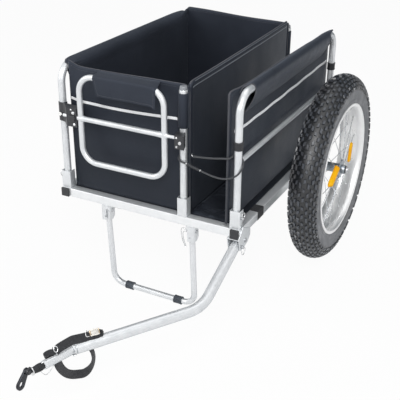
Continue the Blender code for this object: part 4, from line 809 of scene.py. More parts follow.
def add_bolt(name, centre, way, radius, height, washer=True, socket=True, look=STEEL, body="frame"):
    """A button head with a socket, or else a hexagon. centre is on the surface that it clamps."""
    lift = 0.0008 if washer else 0.0
    if washer:
        ring = add_turned(name + "_washer", [(0, radius * 0.5), (0, radius * 1.35), (lift, radius * 1.35),
                                             (lift, radius * 0.5)], centre, way, closed=True, sides=32)
        piece(ring, look, body=body, slot="steel")
    if socket:
        profile = [(lift, radius * 0.2), (lift, radius), (lift + height * 0.6, radius * 0.98),
                   (lift + height * 0.95, radius * 0.72), (lift + height, radius * 0.60),
                   (lift + height, radius * 0.45), (lift + height * 0.4, radius * 0.42),
                   (lift + height * 0.4, radius * 0.05)]
        head = add_turned(name, profile, centre, way, sides=24)
    else:
        profile = [(lift, radius * 1.0), (lift + height * 0.8, radius), (lift + height, radius * 0.88)]
        head = soften(add_turned(name, profile, centre, way, sides=6), 0.0003)
    piece(head, look, body=body, slot="steel")


# Base


def square_ring(point, across, up, half, edge):
    """The outline of a square tube with rounded corners."""
    corners = []
    for sx, sy, start in ((1, 1, 0), (-1, 1, 90), (-1, -1, 180), (1, -1, 270)):
        for x, y in arc((sx * (half - edge), sy * (half - edge)), edge, start, start + 90, 4):
            corners.append(point + across * x + up * y)
    return corners


def add_square_tube(name, start, end, node):
    """A level square tube with rounded corners between two points of its centre line."""
    across = UP.cross((end - start).normalized()).normalized()
    line = dense([start, end], 0.02)
    half = RAIL / 2
    outside = [square_ring(point, across, UP, half, RAIL_EDGE) for point in line]
    inside = [square_ring(point, across, UP, half - RAIL_WALL, RAIL_EDGE * 0.5) for point in line]
    return piece(skin(name, outside + inside[::-1], True), RAIL_SILVER, node)


def add_socket(name, middle_x, post_y, opens):
    """A folded channel that holds a post's foot, open to the front or to the back, with rounded folds."""
    half = SOCKET_WIDTH / 2
    plate = post_y - opens * (POST_RADIUS + GAP + SOCKET_WALL)
    mouth = plate + opens * SOCKET_DEPTH
    inner = half - SOCKET_WALL
    fold = 0.003
    bend, tight = plate + opens * fold, fold - SOCKET_WALL
    left, middle, right = 180, 180 + opens * 90, 180 + opens * 180
    outer = [(-half, mouth)] + arc((-half + fold, bend), fold, left, middle, 5)
    outer += arc((half - fold, bend), fold, middle, right, 5) + [(half, mouth)]
    back = [(inner, mouth)] + arc((inner - tight, bend), tight, right, middle, 4)
    back += arc((-inner + tight, bend), tight, middle, left, 4) + [(-inner, mouth)]
    outline = [(middle_x + x, FRONT_Y + y) for x, y in outer + back]
    return add_prism(name, outline, "z", RAIL_TOP + GAP, RAIL_TOP + SOCKET_HEIGHT, 0.0005)


def build_base():
    """The square tubes, the middle posts' sockets, the axle's tube, the floor board and the welds."""
    reach = HALF_WIDTH - RAIL - GAP
    for side, word in ((-1, "left"), (1, "right")):
        build_side_rail(side, word)
    for word, middle, post_y, opens in (("front", RAIL_FRONT + RAIL / 2, FRONT_POST, 1),
                                        ("rear", RAIL_BACK - RAIL / 2, REAR_POST, -1)):
        add_square_tube(word + "_cross_tube", place(-reach, middle, -RAIL / 2),
                        place(reach, middle, -RAIL / 2), word + "_rail")
        socket = add_socket(f"middle_{word}_socket", MIDDLE_X, post_y, opens)
        piece(socket, SILVER)
        add_foot_plate(f"middle_{word}_foot", MIDDLE_X, post_y, opens, SOCKET_WIDTH / 2)
        for side in (-1, 1):
            x = side * reach
            line = [place(x, middle - RAIL / 2 + 0.003, 0.0002),
                    place(x, middle + RAIL / 2 - 0.003, 0.0002)]
            add_bead(f"{word}_rail_weld_{'left' if side < 0 else 'right'}", line)
    tube = add_rod("axle_cross_tube", place(-reach, WHEEL_BACK, AXLE_UP), place(reach, WHEEL_BACK, AXLE_UP),
                   0.010, inner=0.0064)
    piece(tube, SILVER_LEVEL, "axle_tube")
    floor_reach = reach - 0.0015
    board = add_box("floor_board", place(-floor_reach, RAIL_FRONT + RAIL + GAP, -GAP - 0.0046),
                    place(floor_reach, RAIL_BACK - RAIL - GAP, -GAP), 0.0012)
    piece(board, FABRIC_FLOOR, "floor_panel")
    build_rail_band()


def add_foot_plate(name, middle_x, post_y, opens, half):
    """The welded plate that a socket stands on, with a bead along its edges."""
    plate = post_y - opens * (POST_RADIUS + GAP + SOCKET_WALL / 2)
    mouth = plate + opens * (SOCKET_DEPTH - SOCKET_WALL)
    front, back = sorted((plate, mouth))
    pad = add_box(name, place(middle_x - half, front, -RAIL_WALL / 2),
                  place(middle_x + half, back, WELD_PAD), 0.0006)
    piece(pad, SILVER)
    edge = post_y - opens * (POST_RADIUS + GAP + SOCKET_WALL)
    line = [place(middle_x - half + 0.001, edge, 0.0006), place(middle_x + half - 0.001, edge, 0.0006)]
    add_bead(name + "_weld", line, 0.0013)
    for side in (-1, 1):
        x = middle_x + side * (SOCKET_WIDTH / 2 - 0.0002)
        line = [place(x, front + 0.003, 0.0008), place(x, back - 0.001, 0.0008)]
        add_bead(f"{name}_weld_{'left' if side < 0 else 'right'}", line, 0.0012)


def build_side_rail(side, word):
    """A side tube with its two post sockets, its end cap and a closing plate at the back."""
    x = side * (HALF_WIDTH - RAIL / 2)
    add_square_tube(word + "_side_tube", place(x, RAIL_FRONT, -RAIL / 2), place(x, RAIL_BACK, -RAIL / 2),
                    "side_rail_" + word)
    inset = 0.0012
    plate = add_box(word + "_rail_back_plate",
                    place(x - RAIL / 2 + inset, RAIL_BACK - RAIL_WALL, -RAIL + inset),
                    place(x + RAIL / 2 - inset, RAIL_BACK - 0.0001, -inset), 0.0004)
    piece(plate, RAIL_SILVER)
    cap = add_box(word + "_tube_cap", place(x - RAIL / 2, 0, -RAIL), place(x + RAIL / 2, 0.0062, 0),
                  0.0022, 4)
    piece(cap, PLASTIC, "rail_end_cap_" + word)
    dish = add_box(word + "_tube_cap_face", place(x - 0.0085, 0.0004, -RAIL + 0.0042),
                   place(x + 0.0085, 0.0034, -0.0042), 0.0014, 3)
    piece(dish, PLASTIC)
    for end, post_y, opens in (("front", FRONT_POST, 1), ("rear", REAR_POST, -1)):
        socket = add_socket(f"{word}_{end}_socket", side * POST_X, post_y, opens)
        if end == "front":
            start = place(side * POST_X, post_y, PIN_HEIGHT)
            hole = add_rod("hole", start, start + RIGHT * side * SOCKET_WIDTH, PIN_HOLE)
            carve(settle(socket), hole)
        piece(socket, SILVER)
        add_foot_plate(f"{word}_{end}_foot", side * POST_X, post_y, opens, 0.0138)


def build_rail_band():
    """The ribbed rubber band round the right side tube."""
    x = HALF_WIDTH - RAIL / 2
    start, length, lift = 0.125, 0.040, 0.0012
    rings, inner = [], []
    steps = 40
    for i in range(steps + 1):
        share = i / steps
        ridge = 0.0003 * (0.5 + 0.5 * cos(2 * pi * share * 9))
        half = RAIL / 2 + lift - ridge
        if i in (0, steps):
            half -= 0.0005
        point = place(x, start + length * share, -RAIL / 2)
        rings.append(square_ring(point, RIGHT, UP, half, RAIL_EDGE + 0.0008))
        inner.append(square_ring(point, RIGHT, UP, RAIL / 2 + 0.0001, RAIL_EDGE))
    piece(skin("rail_rubber_band", rings + inner[::-1], True), RUBBER, "rail_band")


# Posts and hoops


def build_posts():
    """The side frames, hoops and spring pins of both sides, and the middle posts."""
    for side, word in ((-1, "left"), (1, "right")):
        build_side_frame(side, word)
        build_hoop(side, word)
        build_pull_pin(side, word)
    for end, post_y in (("front", FRONT_POST), ("rear", REAR_POST)):
        build_middle_post(end, post_y)


def build_side_frame(side, word):
    """Two lower posts and the rail between them, welded through thin stubs."""
    x = side * POST_X
    inner = POST_RADIUS - POST_WALL
    for end, y, high in (("front", FRONT_POST, FRONT_COLLAR), ("rear", REAR_POST, REAR_COLLAR)):
        line = dense([place(x, y, WELD_PAD + GAP), place(x, y, high)], 0.02)
        post = add_tube(f"{word}_{end}_post", line, POST_RADIUS, inner=inner)
        nodes = ["side_frame_" + word] if end == "front" else []
        piece(post, SILVER, *nodes)
        inward = 1 if end == "front" else -1
        ring = saddle(place(x, y, MID_RAIL_HEIGHT), Vector((0, inward, 0)), UP, POST_RADIUS, 0.0047)
        add_bead(f"{word}_{end}_mid_weld", ring, 0.0012, True)
    ends = FRONT_POST + 0.0085, REAR_POST - 0.0085
    inset, taper = 0.016, 0.010
    stops = [ends[0], ends[0] + inset - taper, ends[0] + inset, ends[0] + inset + taper * 0.4]
    radii = [0.0042, 0.0044, 0.0062, 0.0070]
    stops += [ends[1] - (value - ends[0]) for value in reversed(stops)]
    radii += radii[::-1]
    line = [place(x, y, MID_RAIL_HEIGHT) for y in stops]
    rail = add_tube(word + "_mid_rail", line, radii)
    piece(rail, SILVER_LEVEL)


def build_hoop(side, word):
    """The bent top rail of one side, and the collars over its joints."""
    x = side * POST_X
    corners = [place(x, FRONT_POST, FRONT_COLLAR + GAP), place(x, FRONT_POST, HOOP_HEIGHT),
               place(x, REAR_POST, HOOP_HEIGHT), place(x, REAR_POST, REAR_COLLAR + GAP)]
    path = rounded(corners, HOOP_BEND, steps=20)
    hoop = add_tube(word + "_hoop_tube", path, POST_RADIUS, inner=POST_RADIUS - POST_WALL)
    piece(hoop, SILVER, "hoop_" + word)
    for end, y, middle in (("front", FRONT_POST, FRONT_COLLAR), ("rear", REAR_POST, REAR_COLLAR)):
        if side < 0 and end == "front":
            continue
        build_collar(f"collar_{word}_{end}", x, y, middle, f"hoop_collar_{word}_{end}")


def build_collar(name, x, y, middle, node):
    """A moulded collar with upright grip ribs and thicker rims."""
    half, wall = 0.011, 0.0022
    bore = POST_RADIUS + 0.0001
    outer = POST_RADIUS + 0.0004 + wall
    heights = [-half, -half + 0.0006, -half + 0.0028, -half + 0.0034]
    heights += [-height for height in reversed(heights)]
    swell = [-0.0004, 0.0, 0.0, -0.0006, -0.0006, 0.0, 0.0, -0.0004]
    sides = 72
    rings = []
    for height, more in zip(heights, swell):
        ring = []
        for k in range(sides):
            a = 2 * pi * k / sides
            groove = 0.0004 if abs(height) < half - 0.003 and k % 4 < 2 else 0.0
            radius = outer + more - groove
            ring.append(place(x, y, middle + height) + Vector((cos(a), sin(a), 0)) * radius)
        rings.append(ring)
    turns = [2 * pi * k / sides for k in range(sides)]
    bores = [[place(x, y, middle + height) + Vector((cos(a), sin(a), 0)) * bore for a in turns]
             for height in (half, -half)]
    piece(skin(name, rings + bores, True), PLASTIC, node)


def build_pull_pin(side, word):
    """The spring pin of a front socket with its pull ring."""
    way = Vector((side, 0, 0))
    outside = place(side * POST_X, FRONT_POST, PIN_HEIGHT) + way * (SOCKET_WIDTH / 2 + GAP)
    node = "socket_pin_" + word
    add_pin(node, outside, way, node, node, -0.0075, turned_up=True)


def add_pin(name, outside, way, body, node, tip, ring_radius=0.0086, turned_up=False):
    """A turned pin with a grooved head, and the wire ring that hangs from it or stands up."""
    profile = [(tip, 0.0010), (tip + 0.0012, 0.0029), (0, 0.0029), (0.0001, 0.0044), (0.0009, 0.0045),
               (0.0013, 0.0039), (0.0046, 0.0039), (0.0050, 0.0045), (0.0058, 0.0044), (0.0060, 0.0036)]
    pin = add_turned(name + "_head", profile, outside, way, sides=28)
    piece(pin, STEEL, node, body=body)
    wire = 0.0011
    centre = outside + way * 0.0048 + Vector((0, 0, ring_radius if turned_up else -ring_radius))
    points = [centre + Vector((0, sin(a), cos(a))) * ring_radius
              for a in (2 * pi * i / 40 for i in range(40))]
    ring = add_tube(name + "_ring", points, wire, closed=True, side_way=way, sides=10)
    piece(ring, CHROME, body=body)


def build_middle_post(end, post_y):
    """A loose upright with a rolled ferrule at its top and a plastic plug in it."""
    top = MIDDLE_POST_HEIGHT
    ferrule = top - 0.009
    stops = [WELD_PAD + GAP, 0.05, 0.12, 0.2, 0.28, ferrule - 0.0006, ferrule, ferrule + 0.0012,
             top - 0.0012, top]
    radii = [POST_RADIUS] * 6 + [0.0106, 0.0112, 0.0112, 0.0106]
    line = [place(MIDDLE_X, post_y, up) for up in stops]
    post = add_tube(f"{end}_middle_post", line, radii, inner=POST_RADIUS - POST_WALL)
    piece(post, SILVER, "middle_post_" + end)
    base = place(MIDDLE_X, post_y, top + GAP)
    profile = [(-0.008, 0.0080), (-0.0002, 0.0082), (0, 0.0098), (0.0012, 0.0100), (0.0062, 0.0097),
               (0.0088, 0.0086), (0.0098, 0.0066), (0.0094, 0.0040), (0.0090, 0.0008)]
    plug = add_turned(f"{end}_post_cap", profile, base, UP, sides=40)
    piece(plug, CAP_PLASTIC, "post_plug_" + end)


# Support frame and its clamps


def build_support_frame():
    """The closed loop ahead of the front wall, its cross bar with swaged ends, and the welds."""
    back = SUPPORT_BACK
    corners = [place(SUPPORT_LEFT, back, SUPPORT_LOW), place(SUPPORT_LEFT, back, SUPPORT_HIGH),
               place(SUPPORT_RIGHT, back, SUPPORT_HIGH), place(SUPPORT_RIGHT, back, SUPPORT_LOW)]
    loop = add_tube("front_support_loop", rounded(corners, SUPPORT_CORNER, closed=True, steps=18),
                    SUPPORT_RADIUS, closed=True, side_way=(0, 1, 0))
    piece(loop, SILVER, "support_frame")
    left, right = SUPPORT_LEFT, SUPPORT_RIGHT
    stops = [0.022 - POST_X, left - 0.0125, left - 0.009, left - 0.004, left + 0.004, left + 0.013,
             left + 0.020, right - 0.020, right - 0.013, right - 0.004, right + 0.004, right + 0.009,
             right + 0.0125, MIDDLE_X]
    radii = [0.0045, 0.0045, 0.0068, 0.0086, 0.0088, 0.0078, 0.0074]
    radii += radii[::-1]
    line = [place(x, back, CROSS_BAR_HEIGHT) for x in stops]
    bar = add_tube("front_cross_bar", line, radii, side_way=(0, 1, 0))
    piece(bar, SILVER_LEVEL)
    for x, way, word in ((left, 1, "left"), (right, -1, "right")):
        for turn, tag in ((way, "inner"), (-way, "outer")):
            ring = saddle(place(x, back, CROSS_BAR_HEIGHT), Vector((turn, 0, 0)), UP,
                          SUPPORT_RADIUS + 0.0004, 0.0074 if tag == "inner" else 0.0058)
            add_bead(f"cross_bar_weld_{word}_{tag}", ring, 0.0011, True)


def build_clamps():
    """The two blocks that hold the support frame's cross bar to its posts."""
    back, front = 0.004, -0.036
    wrap = 0.0118
    left = [(-wrap, back), (-wrap, -0.003), (-0.0098, -0.0075), (-0.0060, -0.0105), (0.0, -wrap),
            (0.0065, -wrap), (0.0150, -0.0160), (0.0300, -0.0300), (0.0360, front), (0.0680, front),
            (0.0680, -0.012), (wrap, -0.008), (wrap, back)]
    middle = [(-0.0095, -0.0075), (-0.0200, front), (0.0070, front), (wrap, -0.016), (wrap, back),
              (0.0, back)]
    build_clamp("left_clamp", -POST_X, 1, left, 0.204, 0.2565, "support_clamp_left",
                ((0.0520, 0.2525, 0.0021), (0.0575, 0.2440, 0.0034), (0.0600, 0.2120, 0.0029)),
                (-0.0015, 0.2240, 0.0122))
    build_clamp("middle_clamp", MIDDLE_X, -1, middle, 0.203, 0.2395, "support_clamp_middle",
                ((-0.001, 0.2335, 0.0022), (-0.001, 0.2090, 0.0022)), (0.0095, 0.2212, 0.036))
    lug = add_box("left_clamp_lug", place(0.0445 - POST_X, FRONT_POST - 0.0405, 0.2190),
                  place(0.0640 - POST_X, FRONT_POST - 0.0363, 0.2370), 0.0016, 3)
    piece(lug, PLASTIC)


def build_clamp(name, post_x, inward, outline, low, high, node, bolts, knob):
    """One clamp: its block, cut for the post and split across, its bolts and its knob."""
    points = [(post_x + inward * x, FRONT_Y + FRONT_POST + y) for x, y in outline]
    block = add_prism(name, points, "z", RAIL_TOP + low, RAIL_TOP + high)
    bore = add_rod("bore", place(post_x, FRONT_POST, low - 0.01), place(post_x, FRONT_POST, high + 0.01),
                   POST_RADIUS + 0.0002)
    mouth = add_box("mouth", place(post_x - 0.0102, FRONT_POST, low - 0.01),
                    place(post_x + 0.0102, FRONT_POST + 0.02, high + 0.01))
    split = add_box("split", place(post_x - 0.05, FRONT_POST - 0.0215, low - 0.01),
                    place(post_x + 0.09, FRONT_POST - 0.0203, high + 0.01))
    carve(block, bore, mouth)
    carve(block, split)
    soften(block, 0.0012, 3)
    piece(block, PLASTIC, node)
    face = FRONT_POST - 0.036
    for number, (x, up, radius) in enumerate(bolts, 1):
        centre = place(post_x + x, face, up)
        add_bolt(f"{name}_bolt_{number}", centre, FORWARD, radius, 0.0022, look=CHROME)
    x, up, deep = knob
    centre = place(post_x + x, FRONT_POST - deep, up)
    profile = [(0, 0.0046), (0.0010, 0.0050), (0.0028, 0.0048), (0.0038, 0.0040), (0.0042, 0.0022),
               (0.0043, 0.0004)]
    cap = add_turned(name + "_knob", profile, centre, FORWARD, sides=32)
    piece(cap, WHITE_PLASTIC if post_x < 0 else CHROME, slot="black_plastic")


# Elastic cord


def bungee_route():
    """The cord hooks the middle post, runs to the right post, round it and the wall's edge, and back."""
    wrap = POST_RADIUS + 0.0030
    slant = wrap * sin(pi / 4)
    by_middle = [(-slant, slant, 0.171), (-wrap, 0, 0.168), (-slant, -slant, 0.164), (0, -wrap, 0.160),
                 (0.016, -0.0115, 0.1555), (0.040, -0.0110, 0.1490), (0.070, -0.0130, 0.1425),
                 (0.095, -0.0160, 0.1390), (0.120, -0.0190, 0.1400)]
    by_right = [(-0.014, -0.0185, 0.1450), (0, -wrap, 0.1520), (slant, -slant, 0.1620),
                (wrap, 0, 0.1750), (slant, slant, 0.1880), (0, wrap, 0.1955), (-slant, slant, 0.1985),
                (-wrap, 0, 0.2000), (-0.0137, -0.0110, 0.1997), (-0.0146, -0.0172, 0.1990),
                (-0.0195, -0.0194, 0.1982), (-0.034, -0.0205, 0.1960), (-0.060, -0.0190, 0.1905),
                (-0.087, -0.0130, 0.1845), (-0.112, -0.0060, 0.1790)]
    route = [place(MIDDLE_X + right, FRONT_POST + back, up) for right, back, up in by_middle]
    return route + [place(POST_X + right, FRONT_POST + back, up) for right, back, up in by_right]


def build_bungee():
    """The elastic cord, the binding wound round it beside the middle post, and its end with a hook."""
    radius = 0.0023
    points = smooth_path(bungee_route(), 170)
    cord = add_tube("elastic_cord", points, radius, sides=14)
    piece(cord, BRAID, "bungee_cord")
    turns, steps = 6, 14
    first, last = 22, 36
    frames = frames_along(points, False, (1, 0, 0))
    coil = []
    for i in range(turns * steps + 1):
        share = first + (last - first) * i / (turns * steps)
        at, part = int(share), share - int(share)
        across, up = frames[at]
        a = 2 * pi * i / steps
        out = across * cos(a) + up * sin(a)
        coil.append(points[at].lerp(points[at + 1], part) + out * (radius + 0.0012))
    piece(add_tube("cord_binding", coil, 0.0008, sides=8), BRAID)
    way = (points[-1] - points[-2]).normalized()
    start = points[-1]
    profile = [(0.0, 0.0024), (0.0006, 0.0030), (0.0018, 0.0031)]
    rings = 5
    for i in range(rings * 4 + 1):
        profile.append((0.0026 + 0.0095 * i / (rings * 4), 0.0031 + 0.0005 * (i % 4 in (1, 2))))
    profile += [(0.0134, 0.0030), (0.0144, 0.0028), (0.0150, 0.0020), (0.0152, 0.0006)]
    crimp = add_turned("cord_crimp", profile, start, way, sides=24)
    piece(crimp, BRAID, "cord_hook", slot="steel")
    tip = start + way * 0.0150
    hook = [tip, tip + way * 0.0025 + UP * 0.0006, tip + way * 0.0045 + UP * 0.0030,
            tip + way * 0.0040 + UP * 0.0058, tip + way * 0.0015 + UP * 0.0068]
    add_wire("cord_hook_wire", hook, 0.0009, 18, "frame")
    for number, at in enumerate((first - 2, last + 2), 1):
        along = (points[at + 1] - points[at]).normalized()
        bead = add_rod(f"cord_bead_{number}", points[at], points[at] + along * 0.002, radius + 0.0012,
                       inner=radius, sides=16, edge=0.0003)
        piece(bead, CHROME)


# Stand


def stand_point(x, share):
    """A point of the stand at this share of the way from its pivot to the middle of its foot bar."""
    bar_up = 0.0122 * cos(pi / 12) - RAIL_TOP
    back = STAND_PIVOT_BACK + (STAND_FOOT_BACK - STAND_PIVOT_BACK) * share
    up = -STAND_PIVOT_DROP + (bar_up + STAND_PIVOT_DROP) * share
    return place(x, back, up)


def build_stand():
    """The bent prop with its rubber sleeves, brackets and release lever."""
    rise = (stand_point(0, 0) - stand_point(0, 1)).normalized() * 0.004
    corners = [stand_point(-STAND_LEG, 0) + rise, stand_point(-STAND_LEG, 1),
               stand_point(STAND_LEG, 1), stand_point(STAND_LEG, 0) + rise]
    tube = add_tube("stand_tube", rounded(corners, 0.036, steps=16), STAND_RADIUS,
                    inner=STAND_RADIUS - 0.0014)
    piece(tube, SILVER, "stand_frame", body="stand")
    for word, x in (("left", -0.080), ("right", 0.082)):
        build_foot(f"foot_sleeve_{word}", x, "stand_foot_" + word)
    for side, word in ((-1, "left"), (1, "right")):
        build_stand_bracket(side, word)
    build_stand_lever()


def build_foot(name, x, node):
    """A rubber sleeve on the stand's bottom bar, with grip rings and thicker rims."""
    half, sides = 0.0125, 40
    centre = stand_point(x, 1)
    profile = [(-half, STAND_RADIUS + 0.0002), (-half, FOOT_RADIUS - 0.0012), (-half + 0.0006, FOOT_RADIUS),
               (-half + 0.0030, FOOT_RADIUS), (-half + 0.0034, FOOT_RADIUS - 0.0010)]
    for i in range(7):
        along = -half + 0.0052 + i * 0.0024
        profile += [(along - 0.0007, FOOT_RADIUS - 0.0010), (along, FOOT_RADIUS - 0.0003),
                    (along + 0.0007, FOOT_RADIUS - 0.0010)]
    profile += [(half - 0.0034, FOOT_RADIUS - 0.0010), (half - 0.0030, FOOT_RADIUS),
                (half - 0.0006, FOOT_RADIUS), (half, FOOT_RADIUS - 0.0012), (half, STAND_RADIUS + 0.0002)]
    sleeve = add_turned(name, profile, centre, RIGHT, closed=True, sides=sides)
    piece(sleeve, SLEEVE_RUBBER, node, body="stand")


def build_stand_bracket(side, word):
    """A folded channel under the front tube, the bolt that a leg turns on, and its nut."""
    x, half = side * STAND_LEG, CHANNEL_HALF
    front = RAIL_FRONT + GAP
    back = front + 0.0275
    wall, fold = 0.0024, 0.0034
    inner = half - wall
    outline = [(x - half, back)] + arc((x - half + fold, front + fold), fold, 180, 270, 5)
    outline += arc((x + half - fold, front + fold), fold, 270, 360, 5)
    outline += [(x + half, back), (x + inner, back)]
    outline += arc((x + inner - fold + wall, front + fold), fold - wall, 360, 270, 4)
    outline += arc((x - inner + fold - wall, front + fold), fold - wall, 270, 180, 4)
    outline += [(x - inner, back)]
    outline = [(right, FRONT_Y + y) for right, y in outline]
    low = -RAIL - GAP - 0.047
    bracket = add_prism(f"stand_channel_{word}", outline, "z", RAIL_TOP + low, RAIL_TOP - RAIL - GAP)
    corner = [(back - 0.010, low - 0.001), (back + 0.002, low - 0.001), (back + 0.002, low + 0.012)]
    cutter = add_prism("corner", [(FRONT_Y + y, RAIL_TOP + z) for y, z in corner], "x", x - 0.02, x + 0.02)
    carve(bracket, cutter)
    left, right = x - half - 0.001, x + half - wall
    if side < 0:
        left += 0.0165
    else:
        right = x + half - 0.0215
    window = add_box("window", place(left, front - 0.001, -RAIL - 0.050),
                     place(right, front + 0.012, -RAIL - 0.012))
    carve(bracket, window)
    soften(bracket, 0.0005)
    piece(bracket, SILVER, "stand_bracket_" + word)
    for y in (front + 0.0005, back - 0.0005):
        line = [place(x - half + 0.002, y, -RAIL - 0.0006), place(x + half - 0.002, y, -RAIL - 0.0006)]
        add_bead(f"stand_weld_{word}_{'front' if y < 0.02 else 'back'}", line, 0.0014)
    pivot = place(0, STAND_PIVOT_BACK, -STAND_PIVOT_DROP)
    shank = add_rod(f"stand_pivot_{word}", Vector((x - half - 0.0025, pivot.y, pivot.z)),
                    Vector((x + half + 0.0025, pivot.y, pivot.z)), 0.0029, sides=20)
    piece(shank, STEEL, "stand_bolt_" + word)
    for turn, tag in ((-1, "left"), (1, "right")):
        centre = Vector((x + turn * half, pivot.y, pivot.z))
        add_bolt(f"stand_bolt_{word}_{tag}", centre, Vector((turn, 0, 0)), 0.0052, 0.0024,
                 socket=turn == side, washer=False)
    rivet = place(x, front, -0.0600)
    add_bolt(f"stand_rivet_{word}", rivet, FORWARD, 0.0026, 0.0014, washer=False)


def build_stand_lever():
    """The release lever beside the right bracket: a bent wire loop on a short pin."""
    side_x = STAND_LEG - CHANNEL_HALF - 0.0032 - GAP
    top = -STAND_PIVOT_DROP - 0.0055
    y = STAND_PIVOT_BACK
    bends = ((-0.0015, 0.0015), (-0.0090, 0.0070), (-0.0150, 0.0040), (-0.0165, -0.0060),
             (-0.0125, -0.0300), (-0.0050, -0.0480), (-0.0020, -0.0490), (-0.0035, -0.0430),
             (-0.0085, -0.0290), (-0.0110, -0.0100), (-0.0060, -0.0020), (0.0012, 0.0010))
    path = [place(side_x + right, y, top + up) for right, up in bends]
    wire = add_tube("spring_lever", smooth_path(path, 60), 0.0012, side_way=(0, 1, 0), sides=12)
    piece(wire, CHROME, "stand_lever", body="stand_lever")
    stub_up = top - 0.001
    stub = add_rod("spring_lever_pin", place(side_x - 0.003, y, stub_up),
                   place(STAND_LEG - CHANNEL_HALF - GAP, y, stub_up), 0.0024, sides=20, edge=0.0004)
    piece(stub, CHROME, body="stand_lever")


# Tow arm


def lock_place(x):
    """Where the lock pin crosses the arm, at this distance to the right."""
    way = Vector((ARM_BEND_BACK - ARM_PIVOT_BACK, ARM_PIVOT_DROP - ARM_LEVEL_DROP)).normalized()
    lock = Vector((ARM_PIVOT_BACK, -ARM_PIVOT_DROP)) + way * ARM_LOCK_FROM_PIVOT
    return place(x, lock.x, lock.y)


def build_arm_bracket():
    """The pressed bracket under the right tube, with the arm's pivot bolt and nut."""
    outer_low = HALF_WIDTH + GAP
    outer_high = outer_low + 0.003
    inner_high = ARM_X - ARM_RADIUS - 0.001
    back, front = ARM_PIVOT_BACK + 0.031, RAIL_FRONT - 0.0075
    under = -RAIL - GAP
    low = -ARM_PIVOT_DROP - 0.018
    nose = [(back, -0.022), (back + 0.001, -0.040), (ARM_PIVOT_BACK + 0.016, -0.055),
            (ARM_PIVOT_BACK, -0.059), (0.022, low), (0.009, low)]
    outer = [(front, -0.022), (0.024, 0.004)] + nose
    inner = [(front, under), (back, under)] + nose[1:]
    bracket = add_prism("arm_bracket_cheek", [(FRONT_Y + y, RAIL_TOP + z) for y, z in outer], "x",
                        outer_low, outer_high)
    hole = add_rod("hole", lock_place(outer_low - 0.01), lock_place(outer_high + 0.01), PIN_HOLE)
    carve(bracket, hole)
    soften(bracket, 0.0007)
    piece(bracket, SILVER_LEVEL, "arm_bracket")
    cheek = add_prism("arm_bracket_inner", [(FRONT_Y + y, RAIL_TOP + z) for y, z in inner], "x",
                      inner_high - 0.003, inner_high, 0.0007)
    piece(cheek, SILVER_LEVEL)
    roof = add_box("arm_bracket_roof", place(inner_high - 0.002, front, under - 0.002),
                   place(outer_high - 0.001, back, under), 0.0006)
    piece(roof, SILVER_LEVEL)
    pivot = place(0, ARM_PIVOT_BACK, -ARM_PIVOT_DROP)
    start = Vector((inner_high - 0.004, pivot.y, pivot.z))
    end = Vector((outer_high + 0.001, pivot.y, pivot.z))
    shank = add_rod("arm_pivot_bolt", start, end, 0.0049, sides=24)
    piece(shank, STEEL)
    add_bolt("arm_pivot_head", Vector((outer_high, pivot.y, pivot.z)), RIGHT, 0.0049, 0.0024)
    add_bolt("arm_pivot_nut", Vector((inner_high - 0.003, pivot.y, pivot.z)), Vector((-1, 0, 0)), 0.0055,
             0.0024, socket=False)


def arm_path():
    """The arm's middle line up to its slim part, and the start and end of that part."""
    slim_start = place(ARM_SLIM_START.x, ARM_SLIM_START.y, -ARM_LEVEL_DROP)
    end = place(ARM_END.x, ARM_END.y, -ARM_LEVEL_DROP)
    pivot = place(ARM_X, ARM_PIVOT_BACK, -ARM_PIVOT_DROP)
    bend = place(ARM_X, ARM_BEND_BACK, -ARM_LEVEL_DROP)
    return rounded([pivot, bend, slim_start], 0.110, steps=24), slim_start, end


def build_arm():
    """The bent arm with the hub of its pivot, and what it carries."""
    path, slim_start, end = arm_path()
    before = path[:-1]
    way = (slim_start - before[-1]).normalized()
    ahead = (end - slim_start).normalized()
    points = before + [slim_start - way * 0.030, slim_start - way * 0.0050, slim_start - way * 0.0042]
    radii = [ARM_RADIUS] * len(before) + [ARM_RADIUS, ARM_RADIUS * 0.98, ARM_SLIM_RADIUS * 1.04]
    for along in (0.006, 0.018, 0.040, 0.070):
        points.append(slim_start + ahead * along)
        radii.append(ARM_SLIM_RADIUS)
    points += [end - ahead * 0.0006, end]
    radii += [ARM_SLIM_RADIUS, ARM_SLIM_RADIUS - 0.0008]
    arm = add_tube("arm_tube", points, radii, inner=[radius - 0.002 for radius in radii], sides=36)
    pivot = path[0]
    hub = add_rod("hub", pivot - Vector((0.0135, 0, 0)), pivot + Vector((0.0135, 0, 0)), ARM_RADIUS,
                  sides=48)
    bore = add_rod("bore", pivot - Vector((0.03, 0, 0)), pivot + Vector((0.03, 0, 0)), 0.0054, sides=28)
    carve(arm, hub, operation="UNION")
    carve(arm, bore)
    piece(arm, SILVER_LEVEL, "tow_arm", body="tow_arm")
    add_pin("arm_lock", lock_place(HALF_WIDTH + 0.003 + 2 * GAP), RIGHT, "arm_lock_pin",
            "arm_lock_pin", -0.0032, 0.0105)
    build_hitch(end, ahead)
    build_strap()


